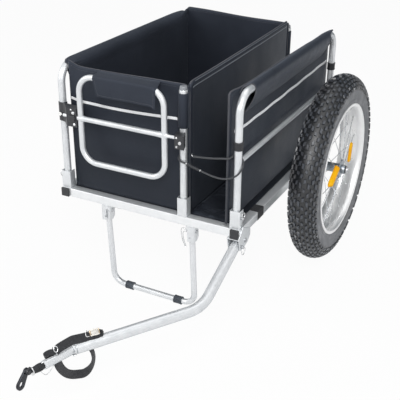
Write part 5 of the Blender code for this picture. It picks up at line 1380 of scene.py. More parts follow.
def build_hitch(end, ahead):
    """The rubber coupling with its washer and tongue, and the eye plate with its pin."""
    ball = end + ahead * 0.006
    pivot = JOINT["hitch_eye_tilt"]
    shell = [(-0.0086, 0.0030), (-0.0077, 0.0048), (-0.0059, 0.0068), (-0.0030, 0.0085), (0.0, 0.0091),
             (0.0030, 0.0093), (0.0036, 0.0086), (0.0046, 0.0086), (0.0052, 0.0093), (0.0082, 0.0092),
             (0.0088, 0.0084), (0.0098, 0.0084), (0.0104, 0.0090), (0.0150, 0.0083), (0.0206, 0.0076),
             (0.0224, 0.0070), (0.0225, 0.0004)]
    coupling = add_turned("hitch_rubber", shell, ball, ahead, sides=48)
    piece(coupling, RUBBER, "hitch_coupling", body="hitch_coupling")
    ring = [(0.0226, 0.0030), (0.0226, 0.0096), (0.0230, 0.0100), (0.0250, 0.0100), (0.0254, 0.0096),
            (0.0254, 0.0030)]
    washer = add_turned("hitch_washer", ring, ball, ahead, closed=True, sides=48)
    piece(washer, CHROME, body="hitch_coupling")
    half = 0.003
    back_y = ball.y + ahead.y * 0.024
    tongue = arc((pivot.y, pivot.z), 0.0074, 90, 270, 14)
    tongue += [(back_y, pivot.z - 0.0074), (back_y, pivot.z + 0.0074)]
    tongue = add_prism("hitch_tongue", tongue, "x", pivot.x - half, pivot.x + half, 0.0008)
    piece(tongue, PLASTIC, body="hitch_coupling")
    hang = radians(46)
    hole = pivot + Vector((0, -cos(hang), -sin(hang))) * 0.030
    turn = 180 + 46
    outline = arc((hole.y, hole.z), 0.0139, turn - 80, turn + 80, 24)
    outline += arc((pivot.y, pivot.z), 0.0079, turn - 260, turn - 100, 16)
    high = pivot.x - half - GAP
    plate = add_prism("eye_plate", outline, "x", high - 0.005, high)
    reach = Vector((0.02, 0, 0))
    carve(plate, add_rod("hole", hole - reach, hole + reach, 0.00625, sides=40))
    soften(plate, 0.0007, 3)
    piece(plate, EYE_STEEL, "hitch_eye", body="hitch_eye")
    head = [(half + GAP + 0.0031, 0.0022), (half + GAP + 0.0030, 0.0045), (half + GAP + 0.0022, 0.0054),
            (half + GAP, 0.0054), (half + GAP, 0.0038), (-half - 0.0056, 0.0038), (-half - 0.0056, 0.0054),
            (-half - 0.0074, 0.0053), (-half - 0.0081, 0.0040), (-half - 0.0082, 0.0020)]
    pin = add_turned("eye_pin", head, pivot, RIGHT, sides=28)
    piece(pin, PLASTIC, body="hitch_eye", slot="steel")


def strap_point(along, up, side=0.0):
    """A point by the arm's level part: distance behind the slim tube, height and offset to the right."""
    bend = Vector((ARM_X, ARM_BEND_BACK))
    way = (bend - ARM_SLIM_START).normalized()
    if along < 0:
        way = (ARM_SLIM_START - ARM_END).normalized()
    flat = ARM_SLIM_START + way * along + Vector((way.y, -way.x)) * side
    return place(flat.x, flat.y, up - ARM_LEVEL_DROP)


def strap_curve(rows, count):
    """A smooth curve through rows of numbers for strap_point."""
    return smooth_path([strap_point(*row) for row in rows], count)


def strap_ways():
    """The arm's far side, and the way that the strap's width leans on its top."""
    far = (strap_point(0.02, 0, -1.0) - strap_point(0.02, 0)).normalized()
    return far, (far * 0.55 + UP * 0.85).normalized()


def build_strap():
    """Webbing along the arm's top, its slack loop and its folded end, with the buckle and clip."""
    far, lean = strap_ways()
    over = [(0.072, 0.0165, 0.0005), (0.058, 0.02, 0), (0.04, 0.022, -0.001), (0.028, 0.022, -0.001),
            (0.012, 0.0235, -0.001), (-0.002, 0.025, -0.001), (-0.018, 0.0255, 0), (-0.033, 0.0245, 0),
            (-0.044, 0.0225, 0), (-0.05, 0.02, 0)]
    ribbon = add_ribbon("strap_top", strap_curve(over, 70), STRAP_WIDTH, STRAP_THICKNESS, lean)
    piece(ribbon, WEBBING, "safety_strap", body="tow_arm")
    under = [(-0.0455, -0.011, -0.002), (-0.042, -0.025, -0.002), (-0.035, -0.041, -0.002),
             (-0.024, -0.057, -0.002), (-0.01, -0.069, -0.002), (0.006, -0.0765, -0.002),
             (0.021, -0.079, -0.002), (0.034, -0.073, -0.003), (0.044, -0.062, -0.005),
             (0.049, -0.049, -0.008), (0.0485, -0.035, -0.011), (0.045, -0.023, -0.014),
             (0.042, -0.01, -0.0165)]
    along = (strap_point(-0.01, 0) - strap_point(-0.02, 0)).normalized()
    upward = (far * 0.45 + Vector((0, 0, 0.89))).normalized()
    edge_on = (along * -0.80 - far * 0.60 + Vector((0, 0, 0.35))).normalized()
    path = strap_curve(under, 90)
    levels = []
    for k in range(len(path)):
        share = k / (len(path) - 1)
        first = along.lerp(upward, min(1.0, max(0.0, (share - 0.08) / 0.34)))
        levels.append(first.lerp(edge_on, min(1.0, max(0.0, (share - 0.52) / 0.28))).normalized())
    loop = add_ribbon("strap_loop", path, STRAP_WIDTH, STRAP_THICKNESS, levels)
    piece(loop, WEBBING, body="tow_arm")
    tail = [(-0.048, 0.017, -0.001), (-0.06, 0.0215, -0.003), (-0.07, 0.0215, -0.004),
            (-0.074, 0.0185, -0.004), (-0.07, 0.016, -0.004), (-0.054, 0.0145, -0.003)]
    fold = add_ribbon("strap_fold", strap_curve(tail, 40), STRAP_WIDTH * 0.62, STRAP_THICKNESS, lean)
    piece(fold, WEBBING, body="tow_arm")
    build_buckle()
    build_arm_clip()


def build_arm_clip():
    """The ring and spring clip where the slim tube enters the arm, and the safety wire ahead of it."""
    way = (strap_point(-0.01, 0) - strap_point(0.0, 0)).normalized()
    seat = strap_point(-0.001, 0)
    collar = add_rod("arm_end_ring", seat, seat + way * 0.005, ARM_RADIUS + 0.0005,
                     inner=ARM_RADIUS * 0.90, sides=40, edge=0.0008)
    piece(collar, SILVER, body="tow_arm")
    near = (strap_point(0, 0, 1.0) - strap_point(0, 0)).normalized()
    head = seat + way * 0.003 + near * (ARM_RADIUS + 0.0008)
    add_bolt("arm_end_pin", head, near, 0.0020, 0.0014, washer=False, body="tow_arm")
    wire = [seat + way * 0.003 + near * (ARM_RADIUS + 0.0016) + Vector((0, 0, 0.002)),
            strap_point(-0.0030, -0.004, ARM_RADIUS + 0.0012),
            strap_point(-0.0070, -0.0080, ARM_RADIUS - 0.001),
            strap_point(-0.0110, -0.0075, ARM_RADIUS - 0.002)]
    add_wire("arm_end_wire", wire, 0.0009, 24, "tow_arm")
    end = strap_point(-0.074, 0)
    ahead = (strap_point(-0.02, 0) - strap_point(-0.01, 0)).normalized()
    out = ARM_SLIM_RADIUS
    loop = [strap_point(-0.052, out - 0.001, 0.003), strap_point(-0.062, out + 0.0020, 0.002),
            end + Vector((0, 0, out)), end + ahead * 0.012 + Vector((0, 0, 0.008)),
            end + ahead * 0.019 + near * 0.006 - Vector((0, 0, 0.006)),
            end + ahead * 0.010 + near * 0.010 - Vector((0, 0, 0.019)),
            end + near * 0.012 - Vector((0, 0, 0.016)), strap_point(-0.058, -out + 0.001, 0.004)]
    add_wire("safety_wire", loop, 0.0009, 70, "tow_arm")


def build_buckle():
    """A ladder buckle on the strap's top, the tail of webbing behind it and the ring ahead of it."""
    far, across = strap_ways()
    start, end = strap_point(0.0420, 0.0265, -0.0040), strap_point(0.0640, 0.0255, -0.0040)
    way = (end - start).normalized()
    across = (across - way * across.dot(way)).normalized()
    near = way.cross(across).normalized()
    if near.dot(far) > 0:
        near = -near
    half = STRAP_WIDTH * 0.30
    plate_line = [start.lerp(end, share) + near * (0.0030 + 0.0022 * sin(pi * share))
                  for share in (0.10 + 0.80 * k / 12 for k in range(13))]
    plate = add_ribbon("buckle_plate", plate_line, STRAP_WIDTH * 0.52, 0.0028, across)
    soften(plate, 0.0007)
    piece(plate, GREY_PLASTIC, "strap_buckle", body="tow_arm")
    for number, share in enumerate((0.0, 1.0), 1):
        middle = start.lerp(end, share) + near * 0.0030
        rung = add_rod(f"buckle_bar_{number}", middle - across * half, middle + across * half, 0.0017,
                       sides=16, edge=0.0005)
        piece(rung, BRASS, body="tow_arm")
    for number, edge in enumerate((-half, half), 1):
        rail = add_rod(f"buckle_side_{number}", start + across * edge + near * 0.0030,
                       end + across * edge + near * 0.0030, 0.0016, sides=12, edge=0.0004)
        piece(rail, GREY_PLASTIC, body="tow_arm")
    hook = [start - way * 0.002 + across * half * 0.4, start - way * 0.008 + across * half * 1.2,
            start - way * 0.0100 + across * half * 0.2, start - way * 0.0090 - across * half * 0.9,
            start - way * 0.002 - across * half * 1.1]
    add_wire("buckle_tongue", hook, 0.0012, 30, "tow_arm", sides=10)
    tail = [end + way * 0.001 + near * 0.0040 + across * 0.003, end + way * 0.0055 + near * 0.0030,
            end + way * 0.0085 - across * 0.0045, end + way * 0.0075 - across * 0.0130 + near * 0.001]
    ribbon = add_ribbon("buckle_tail", smooth_path(tail, 30), STRAP_WIDTH * 0.55, 0.0016, near)
    piece(ribbon, WEBBING, body="tow_arm")
    ring_at = strap_point(-0.0475, 0.0245, -0.0010)
    ring = [ring_at + across * 0.0066 * cos(a) + way * 0.0046 * sin(a)
            for a in (2 * pi * i / 28 for i in range(28))]
    piece(add_tube("strap_ring", ring, 0.0014, closed=True, side_way=(0, 0, 1), sides=10), CHROME,
          body="tow_arm")


# Wheels


def tyre_section(angle, lift=0.0):
    """The tread's surface as (distance across, radius) at an angle from the crown, and its way out."""
    out = Vector((sin(angle), cos(angle)))
    return Vector((0.0, TYRE_CROWN)) + out * (TYRE_CASE + lift), out


def tyre_outline():
    """The tyre's closed section as pairs of distance across and radius."""
    outside = [tyre_section(radians(a))[0] for a in range(0, 97, 6)]
    outside = [tuple(point) for point in outside]
    last_x, last_r = outside[-1]
    bead = RIM_RADIUS + 0.0006
    wall = [(last_x, last_r), (last_x - 0.0006, last_r - 0.010), (0.0410, 0.2220), (0.0405, 0.2195),
            (0.0412, 0.2180), (0.0400, 0.2115), (0.0386, bead), (0.0350, bead)]
    inside = [(0.0350, 0.2120), (0.0380, 0.2260), (0.0392, 0.2440), (0.0340, 0.2680), (0.0180, 0.2800),
              (0.0, 0.2815)]
    right = outside + wall[1:] + inside
    left = [(-x, r) for x, r in reversed(right[1:-1])]
    return right + left


# Rows of tread blocks: degrees from the crown, length round the wheel, width, height, share of a pitch
TREAD_ROWS = ((0, 0.0150, 0.0070, TREAD_HEIGHT, 0.0), (15, 0.0120, 0.0072, TREAD_HEIGHT, 0.5),
              (30, 0.0150, 0.0070, TREAD_HEIGHT, 0.0), (45, 0.0125, 0.0074, 0.0044, 0.5),
              (60, 0.0150, 0.0074, 0.0042, 0.05), (76, 0.0120, 0.0084, 0.0036, 0.55))
TREAD_PITCHES = 66


def add_tread(name, centre, side):
    """All blocks of one tyre, each a block with chamfered top edges that follows the tyre's curve."""
    points, faces = [], []
    for degrees, length, width, height, shift in TREAD_ROWS:
        for flip in ((1,) if degrees == 0 else (1, -1)):
            angle = radians(degrees) * flip
            base, out = tyre_section(angle)
            along_wall = Vector((out.y, -out.x))
            for i in range(TREAD_PITCHES):
                long = length * (1.0 if (i + degrees) % 2 else 0.78)
                spin = 2 * pi * (i + shift + (0.25 if flip < 0 else 0.0)) / TREAD_PITCHES
                first = len(points)
                for depth, shrink in ((-0.0010, 1.10), (height * 0.72, 0.98), (height, 0.84)):
                    for sx, sy in ((-1, -1), (1, -1), (1, 1), (-1, 1)):
                        flat = base + out * depth + along_wall * (sx * width / 2 * shrink)
                        lean = 0.0016 * sx * (1 if i % 2 else -1)
                        turn = spin + (sy * long / 2 * shrink + lean) / flat.y
                        points.append(centre + Vector((side * flat.x, flat.y * cos(turn),
                                                       flat.y * sin(turn))))
                for level in (first, first + 4):
                    faces += band(level, level + 4, 4)
                faces.append((first + 8, first + 9, first + 10, first + 11))
                faces.append((first + 3, first + 2, first + 1, first))
    return add_mesh(name, points, faces)


def turned_out(angle, radius):
    """The way from the wheel's middle to this angle and radius."""
    return Vector((0, cos(angle), sin(angle))) * radius


def build_wheel(side, word):
    """One wheel: tyre and tread, rim, hub, spokes and its two reflectors."""
    body = "wheel_" + word
    centre = JOINT[f"wheel_{word}_spin"].copy()
    way = Vector((side, 0, 0))
    rubber = TYRES[word]
    tyre = add_turned(f"tyre_body_{word}", tyre_outline(), centre, way, closed=True, sides=WHEEL_SIDES)
    piece(tyre, rubber, "tyre_" + word, body=body, slot="tyre")
    piece(add_tread(f"tyre_tread_{word}", centre, side), rubber, body=body, slot="tyre")
    build_rim(word, centre, way)
    build_hub(word, centre, way)
    add_spokes(word, centre)
    reflectors = ((-0.0906, 0.0123, 0.078, 31, 0.0115), (0.0731, 0.0281, 0.064, 80, 0.0040))
    for number, (behind, above, length, tilt, dome) in enumerate(reflectors, 1):
        middle = centre + Vector((side * 0.0338, behind, above))
        build_reflector(f"{word}_{number}", middle, length, tilt, dome, side, body,
                        f"reflector_{word}_{number}")


def build_rim(word, centre, way):
    """A wide rolled rim with lips and a stepped well, and the valve on its inner side."""
    half, base = RIM_HALF, RIM_RADIUS - RIM_DEPTH
    right = [(half - 0.0012, base + 0.0048), (half, base + 0.0062), (half, RIM_RADIUS - 0.0012),
             (half - 0.0010, RIM_RADIUS), (half - 0.0026, RIM_RADIUS), (half - 0.0032, RIM_RADIUS - 0.0010),
             (half - 0.0056, RIM_RADIUS - 0.0064), (half - 0.0120, RIM_RADIUS - 0.0078)]
    left = [(-x, r) for x, r in reversed(right)]
    well = [(-half + 0.0060, base + 0.0026), (-half + 0.0130, base + 0.0004), (-0.0140, base),
            (-0.0128, base + 0.0008), (0.0128, base + 0.0008), (0.0140, base),
            (half - 0.0130, base + 0.0004), (half - 0.0060, base + 0.0026)]
    rim = add_turned(f"rim_barrel_{word}", right + left + well, centre, way, closed=True, sides=WHEEL_SIDES)
    piece(rim, RIMS[word], "rim_" + word, body="wheel_" + word)
    angle = radians(205)
    inner = turned_out(angle, base - 0.0004)
    out = -turned_out(angle, 1.0)
    stem = [(-0.002, 0.0040), (0.0, 0.0042), (0.0040, 0.0040), (0.0044, 0.0032), (0.0140, 0.0031),
            (0.0142, 0.0038), (0.0230, 0.0036), (0.0240, 0.0026), (0.0242, 0.0006)]
    valve = add_turned(f"valve_{word}", stem, centre + inner, out, sides=20)
    piece(valve, RUBBER, body="wheel_" + word)


def build_hub(word, centre, way):
    """The hub shell with its flanges and seals, and the push-in axle with its head."""
    body = "wheel_" + word
    half = [(0.0445, 0.0128), (0.0435, 0.0136), (0.0335, 0.0138), (0.0325, 0.0170), (0.0318, 0.0280),
            (0.0312, 0.0290), (0.0288, 0.0290), (0.0282, 0.0280), (0.0274, 0.0172), (0.0240, 0.0150),
            (0.0120, 0.0142)]
    left = [(-x, r) for x, r in reversed(half)]
    shell = add_turned(f"hub_shell_{word}", [(0.0445, 0.0064)] + half + left + [(-0.0445, 0.0064)], centre,
                       way, closed=True, sides=48)
    piece(shell, HUB_ALLOY, "hub_" + word, body=body)
    for turn, tag in ((1, "outer"), (-1, "inner")):
        seal = [(0.0446, 0.0066), (0.0446, 0.0112), (0.0440, 0.0124), (0.0449, 0.0122), (0.0450, 0.0068)]
        ring = add_turned(f"hub_seal_{word}_{tag}", [(turn * x, r) for x, r in seal], centre, way,
                          closed=True, sides=40)
        piece(ring, RUBBER, body=body)
    hub_in, hub_out = abs(centre.x) - HUB_HALF, abs(centre.x) + HUB_HALF
    rail_face = HALF_WIDTH + GAP
    profile = [(HALF_WIDTH - RAIL - 0.034, 0.0044), (HALF_WIDTH - RAIL - 0.0325, 0.0060),
               (rail_face, 0.0060), (rail_face, 0.0090), (rail_face + 0.0005, 0.0095),
               (hub_in - GAP, 0.0095), (hub_in - GAP, 0.0060), (hub_out + GAP, 0.0060),
               (hub_out + GAP, 0.0092), (hub_out + 0.0012, 0.0095), (hub_out + 0.0060, 0.0092),
               (hub_out + 0.0078, 0.0082), (hub_out + 0.0082, 0.0060), (hub_out + 0.0070, 0.0040),
               (hub_out + 0.0068, 0.0008)]
    axle = add_turned(f"push_axle_{word}", profile, place(0, WHEEL_BACK, AXLE_UP), way, sides=40)
    piece(axle, STEEL, "wheel_axle_" + word)


def add_spokes(word, centre):
    """Crossed spokes with their elbows at the flanges, and the nipples at the rim."""
    body = "wheel_" + word
    points, faces = [], []
    seats, seat_faces = [], []
    reach = RIM_RADIUS - RIM_DEPTH - 0.0006

    def add_to(store, shapes, start, end, radii, shares, sides):
        way = (end - start).normalized()
        across = way.cross(RIGHT).normalized()
        up = way.cross(across)
        first = len(store)
        for share, radius in zip(shares, radii):
            store.extend(circle(start.lerp(end, share), across, up, radius, sides))
        for level in range(len(radii) - 1):
            shapes.extend(band(first + level * sides, first + (level + 1) * sides, sides))
        shapes.append(tuple(range(first, first + sides)))
        shapes.append(tuple(range(len(store) - sides, len(store))))

    for i in range(SPOKES):
        side = 1 if i % 2 else -1
        lean = 3 if i // 2 % 2 else -3
        rim_angle = 2 * pi * i / SPOKES
        hub_angle = rim_angle + 2 * pi * lean / SPOKES
        hub_x = side * 0.030 + (0.002 if lean > 0 else -0.002) * side
        rim_x = side * 0.010 + (0.0012 if lean > 0 else -0.0012) * side
        start = centre + Vector((hub_x, 0, 0)) + turned_out(hub_angle, SPOKE_CIRCLE)
        end = centre + Vector((rim_x, 0, 0)) + turned_out(rim_angle, reach)
        add_to(points, faces, start, end, [0.0010] * 2, [0.0, 1.0], 10)
        bend = centre + Vector((side * 0.0275, 0, 0)) + turned_out(hub_angle, SPOKE_CIRCLE)
        add_to(points, faces, bend, start, [0.0011, 0.0011], [0.0, 1.15], 8)
        length = (end - start).length
        seat = end - (end - start) * (0.0125 / length)
        add_to(seats, seat_faces, seat, end, [0.0012, 0.0017, 0.0017, 0.0026, 0.0026],
               [0.0, 0.12, 0.80, 0.86, 1.0], 10)
    piece(add_mesh(f"spokes_{word}", points, faces), SPOKE_STEEL, body=body)
    piece(add_mesh(f"nipples_{word}", seats, seat_faces), CHROME, body=body)


def build_reflector(tag, centre, length, tilt, dome, side, body, node):
    """An amber spoke reflector: a domed capsule with a flat rim."""
    spin = Matrix.Rotation(radians(tilt), 2)

    def capsule(shrink, out):
        round_end = 0.010 - shrink
        half = length / 2 - 0.010
        outline = arc((half, 0), round_end, -90, 90, 12) + arc((-half, 0), round_end, 90, 270, 12)
        flat = [spin @ Vector(pair) for pair in outline]
        return [centre + Vector((side * out, pair.x, pair.y)) for pair in flat]

    levels = [(0.0006, -0.0030), (0.0, -0.0026), (0.0, 0.0012), (0.0004, 0.0016), (0.0012, 0.0016)]
    for share in (0.15, 0.35, 0.6, 0.8, 0.93, 1.0):
        levels.append((0.0014 + 0.0070 * (1 - sqrt(1 - share * share)), 0.0017 + (dome - 0.0017) * share))
    body_shape = skin(f"reflector_body_{tag}", [capsule(shrink, out) for shrink, out in levels])
    piece(body_shape, AMBER, node, body=body)


# Fabric walls


def stations(length, step, edge):
    """Positions along a side, closer together near its two ends."""
    near = [edge * share for share in (0.0, 0.04, 0.12, 0.26, 0.46, 0.70, 1.0)]
    count = max(2, round((length - 2 * edge) / step))
    middle = [edge + (length - 2 * edge) * i / count for i in range(1, count)]
    return near + middle + [length - value for value in reversed(near)]


class Pad:
    """A padded wall. Its width runs along across, and out points away from its middle sheet.

    top gives the height of the upper edge at u, and drift how far the middle sheet bulges at u and v.
    """

    def __init__(self, origin, across, out, width, height, thickness, edge, top, drift, seed):
        self.origin, self.across, self.up, self.out = origin, across, UP, out
        self.width, self.height, self.thickness, self.edge = width, height, thickness, edge
        self.top, self.drift, self.seed = top, drift, seed

    def relief(self, u, v, side):
        """Soft creases that differ on the two faces, and puckers near the seams."""
        spot = Vector((u * 9, v * 7, self.seed + side * 3.1))
        soft = noise.noise(spot) + 0.5 * noise.noise(spot * 2.3 + Vector((4, 1, 7)))
        pucker = noise.noise(Vector((u * 60, v * 60, self.seed + 9)))
        near = min(u, self.width - u, v, self.height - v)
        return CREASE * (soft + 0.6 * pucker * exp(-((near / 0.02) ** 2)))

    def point(self, u, v, side, lift=0.0):
        """A point of the face on side 1 or -1, or of the middle sheet for side 0."""
        near = min(u, self.width - u, v, self.height - v)
        share = min(1.0, near / self.edge)
        half = self.thickness / 2 * sqrt(max(0.0, 1 - (1 - share) ** 2))
        high = v * self.top(u) / self.height
        away = self.drift(u, v) + side * (half + lift)
        if side:
            away += self.relief(u, v, side) * share
        return self.origin + self.across * u + self.up * high + self.out * away

    def build(self, name, look, node):
        step = 0.0075
        us, vs = stations(self.width, step, self.edge), stations(self.height, step, self.edge)
        wide, tall = len(us), len(vs)
        points, index = [], {}
        for side in (1, -1):
            for i, u in enumerate(us):
                for j, v in enumerate(vs):
                    border = i in (0, wide - 1) or j in (0, tall - 1)
                    if border and side < 0:
                        index[side, i, j] = index[1, i, j]
                        continue
                    index[side, i, j] = len(points)
                    points.append(self.point(u, v, 0 if border else side))
        faces = []
        for side in (1, -1):
            for i in range(wide - 1):
                for j in range(tall - 1):
                    faces.append((index[side, i, j], index[side, i + 1, j], index[side, i + 1, j + 1],
                                  index[side, i, j + 1]))
        wall = piece(add_mesh(name, points, faces), look, node, slot="dark_fabric")

    def border(self, name, sides, size=0.0022, deep=0.005):
        """Binding tape folded over the seam along some of the sides, as a soft flattened roll."""
        wide, high = self.width, self.height
        corners = {"left": (0.0, 0.0, 0.0, high), "top": (0.0, high, wide, high),
                   "right": (wide, high, wide, 0.0), "bottom": (wide, 0.0, 0.0, 0.0)}
        line = []
        for word in sides:
            u1, v1, u2, v2 = corners[word]
            length = abs(u2 - u1) + abs(v2 - v1)
            parts = max(2, round(length / 0.006))
            for k in range(parts + 1):
                line.append((u1 + (u2 - u1) * k / parts, v1 + (v2 - v1) * k / parts))
        path = [self.point(u, v, 0) for u, v in line]
        kept = [path[0]]
        for point in path[1:]:
            if (point - kept[-1]).length > 1e-5:
                kept.append(point)
        inside = self.origin + self.across * self.width / 2 + self.up * self.height / 2
        rings = []
        for point, way in zip(kept, directions_along(kept, False)):
            inward = self.out.cross(way).normalized()
            if inward.dot(inside - point) < 0:
                inward = -inward
            swell = size * (1 + 0.12 * noise.noise(point * 90))
            angles = [2 * pi * k / 12 for k in range(12)]
            rings.append([point + inward * (deep / 2 - 0.0006 + deep / 2 * cos(a))
                          + self.out * swell * sin(a) for a in angles])
        piece(skin(name, rings), BINDING)

    def strip(self, name, v, size, start, end, lift=0.0007, look=STRIP, sag=lambda u: 0.0):
        """A flat tape laid on the outer face at a height, with its sag."""
        count = max(4, round((end - start) / 0.006))
        path = []
        for k in range(count + 1):
            u = start + (end - start) * k / count
            path.append(self.point(u, v + sag(u), 1, lift))
        piece(add_ribbon(name, path, size, 0.0012, self.up), look, slot="dark_fabric")

    def stitches(self, name, v, side, start, end, upright=False):
        """A row of stitches on one face, level at v, or upright at u where upright is set."""
        places = []
        for k in range(int((end - start) / STITCH_PITCH)):
            a = start + STITCH_PITCH * k
            b = a + STITCH_PITCH * 0.62
            pair = ((v, a), (v, b)) if upright else ((a, v), (b, v))
            places.append([self.point(u, w, side, 0.0002) for u, w in pair])
        add_stitches(name, places)


def add_stitches(name, places):
    """Short threads, each between two points and lifted a little in its middle."""
    points, faces = [], []
    for start, end in places:
        way = (end - start).normalized()
        across = way.cross(off_axis(way)).normalized()
        up = way.cross(across)
        first = len(points)
        for share, size in ((0.0, 0.35), (0.2, 1.0), (0.8, 1.0), (1.0, 0.35)):
            points += circle(start.lerp(end, share), across, up, STITCH_RADIUS * size, 5)
        for level in range(3):
            faces += band(first + level * 5, first + level * 5 + 5, 5)
        faces.append(tuple(range(first, first + 5)))
        faces.append(tuple(range(first + 15, first + 20)))
    piece(add_mesh(name, points, faces), THREAD)


def stitch_along(name, line, share):
    """One stitch on each step of a line, over this share of it."""
    add_stitches(name, [(a, a.lerp(b, share)) for a, b in zip(line, line[1:])])


def corner_drop(inside, radius):
    """How far a rounded corner has dropped at this distance into it."""
    return radius - sqrt(max(0.0, radius ** 2 - inside ** 2))


def front_top(u):
    """The front wall's height at u: a raised left corner, a slight dip and a rounded right corner."""
    height = 0.3585 + 0.0115 * exp(-((u / 0.022) ** 2)) - 0.0016 * sin(pi * min(1.0, u / 0.25))
    corner = 0.018
    return height - corner_drop(max(0.0, corner - (END_WALL_WIDTH - u)), corner)


def divider_top(u):
    """The divider's height at u: it rises to the rear and has a rounded front corner."""
    corner = 0.020
    return 0.3635 + 0.013 * (u / DIVIDER_LENGTH) ** 1.6 - corner_drop(max(0.0, corner - u), corner)


def bulge(depth, width, height):
    """A middle sheet that swells by depth halfway along and up."""
    return lambda u, v: depth * sin(pi * u / width) * sin(pi * min(v, height) / height)


def build_post_sleeve(end, post_y):
    """The fabric sleeve of an end wall round its middle post."""
    sleeve = add_rod(end + "_post_sleeve", place(MIDDLE_X, post_y, SLEEVE_LOW),
                     place(MIDDLE_X, post_y, MIDDLE_POST_HEIGHT - 0.0093), POST_RADIUS + 0.0030,
                     inner=POST_RADIUS + 0.0002, sides=32, edge=0.0010)
    piece(sleeve, FABRIC_FRONT)


def build_front_panel():
    """The front wall with its seams, its tape, the sleeve round the middle post and its flap."""
    height = 0.360
    pad = Pad(place(END_WALL_LEFT, 0.0365, GAP), RIGHT, FORWARD, END_WALL_WIDTH, height, END_WALL_THICKNESS,
              edge=0.007, top=front_top, drift=bulge(0.0045, END_WALL_WIDTH, height), seed=1)
    pad.build("front_wall", FABRIC_FRONT, "panel_front")
    pad.border("front_wall_binding", ("left", "top", "right"))
    pad.border("front_wall_hem", ("bottom",), 0.0026, 0.008)
    pad.stitches("front_wall_top_seam", 0.351, 1, 0.012, 0.355)
    pad.stitches("front_wall_foot_seam", 0.011, 1, 0.010, 0.360)
    pad.strip("front_tape", TAPE_HEIGHT, 0.0078, 0.006, 0.3360,
              sag=lambda u: -0.0045 * sin(pi * u / 0.34) - 0.007 * exp(-u / 0.03))
    build_post_sleeve("front", FRONT_POST)
    build_front_flap()


def sheet_between(name, rows, thickness):
    """A thin closed sheet through rows of points, given thickness along its own normals."""
    wide = len(rows[0])
    points = [point for row in rows for point in row]
    faces = [(i * wide + j, i * wide + j + 1, (i + 1) * wide + j + 1, (i + 1) * wide + j)
             for i in range(len(rows) - 1) for j in range(wide - 1)]
    mesh = bpy.data.meshes.new(name)
    mesh.from_pydata([tuple(point) for point in points], [], faces)
    obj = link(name, mesh)
    solid = obj.modifiers.new("thickness", "SOLIDIFY")
    solid.thickness = thickness
    solid.offset = 0.0
    settle(obj)
    shade(obj.data, SHEET_SHARP)
    return obj


def over_bar(middle, up, radius, angles):
    """Places round a bar at these angles in degrees, as pairs across and up."""
    return [(middle + radius * cos(radians(a)), up + radius * sin(radians(a))) for a in angles]


def build_front_flap():
    """The flap sewn to the front wall, which folds over the support frame's top bar and hangs from it."""
    bar_y, bar_z = SUPPORT_BACK, SUPPORT_HIGH
    rod = SUPPORT_RADIUS + 0.0012
    left, right = -0.136, 0.0515
    columns = 46
    rows = []
    profile = [(0.0300, 0.3560), (0.0220, 0.3585), (0.0100, 0.3600)]
    profile += over_bar(bar_y, bar_z, rod, (85, 105, 125, 145, 165, 180))
    drops = (0.004, 0.009, 0.015, 0.021, 0.027, 0.033, 0.038, 0.042, 0.0445)
    profile += [(bar_y - rod, bar_z - drop) for drop in drops]
    for i, (y, z) in enumerate(profile):
        row = []
        hang = max(0.0, (i - 8) / len(drops))
        for j in range(columns + 1):
            share = j / columns
            slant = hang * (0.012 * (1 - share) - 0.001 * share)
            slant -= 0.014 * share ** 4 * max(0, 3 - i) / 3
            x = left + (right - left) * share + slant
            bend_drop = corner_drop(min(SUPPORT_CORNER, max(0.0, x - 0.026)), SUPPORT_CORNER)
            wave = 0.0011 * hang * noise.noise(Vector((x * 28, i * 0.3, 2.0)))
            ripple = 0.0014 * hang * sin(x * 55 + 1.0)
            lift = 0.0012 * hang * noise.noise(Vector((x * 20, 5, 1)))
            row.append(place(x, y - abs(ripple) - wave, z - bend_drop * (1 if i > 2 else 0.4) + lift))
        rows.append(row)
    flap = sheet_between("front_flap", rows, FLAP_THICKNESS)
    piece(flap, FABRIC_FRONT)
    hem = [point + Vector((0, -0.0009, 0.0045)) for point in rows[-1][1:-1]]
    stitch_along("front_flap_seam", hem, 0.8)
    for tag, column, inward in (("side", 1, 0.002), ("end", -2, -0.002)):
        line = [row[column] + Vector((inward, -0.0009, 0)) for row in rows[9:]]
        stitch_along(f"front_flap_{tag}_seam", line, 0.7)


def build_rear_panel():
    """The rear wall, which slopes down from its high left corner."""
    def top(u):
        corner = 0.015 * max(0.0, 1 - u / 0.014) ** 1.5
        return 0.3825 - 0.0135 * u / END_WALL_WIDTH + 0.0012 * sin(u * 22) - corner

    def drift(u, v):
        return -0.003 * sin(pi * u / END_WALL_WIDTH) * sin(pi * v / 0.375)

    pad = Pad(place(END_WALL_LEFT, 0.698, GAP), RIGHT, BACKWARD, END_WALL_WIDTH, 0.376, END_WALL_THICKNESS,
              edge=0.007, top=top, drift=drift, seed=2)
    pad.build("rear_wall", FABRIC_FRONT, "panel_rear")
    pad.border("rear_wall_binding", ("left", "top", "right"))
    pad.stitches("rear_wall_top_seam", 0.367, 1, 0.012, 0.357)
    pad.stitches("rear_wall_inner_seam", 0.367, -1, 0.012, 0.357)
    pad.strip("rear_tape", TAPE_HEIGHT, 0.0068, 0.012, 0.3360)
    build_post_sleeve("rear", REAR_POST)


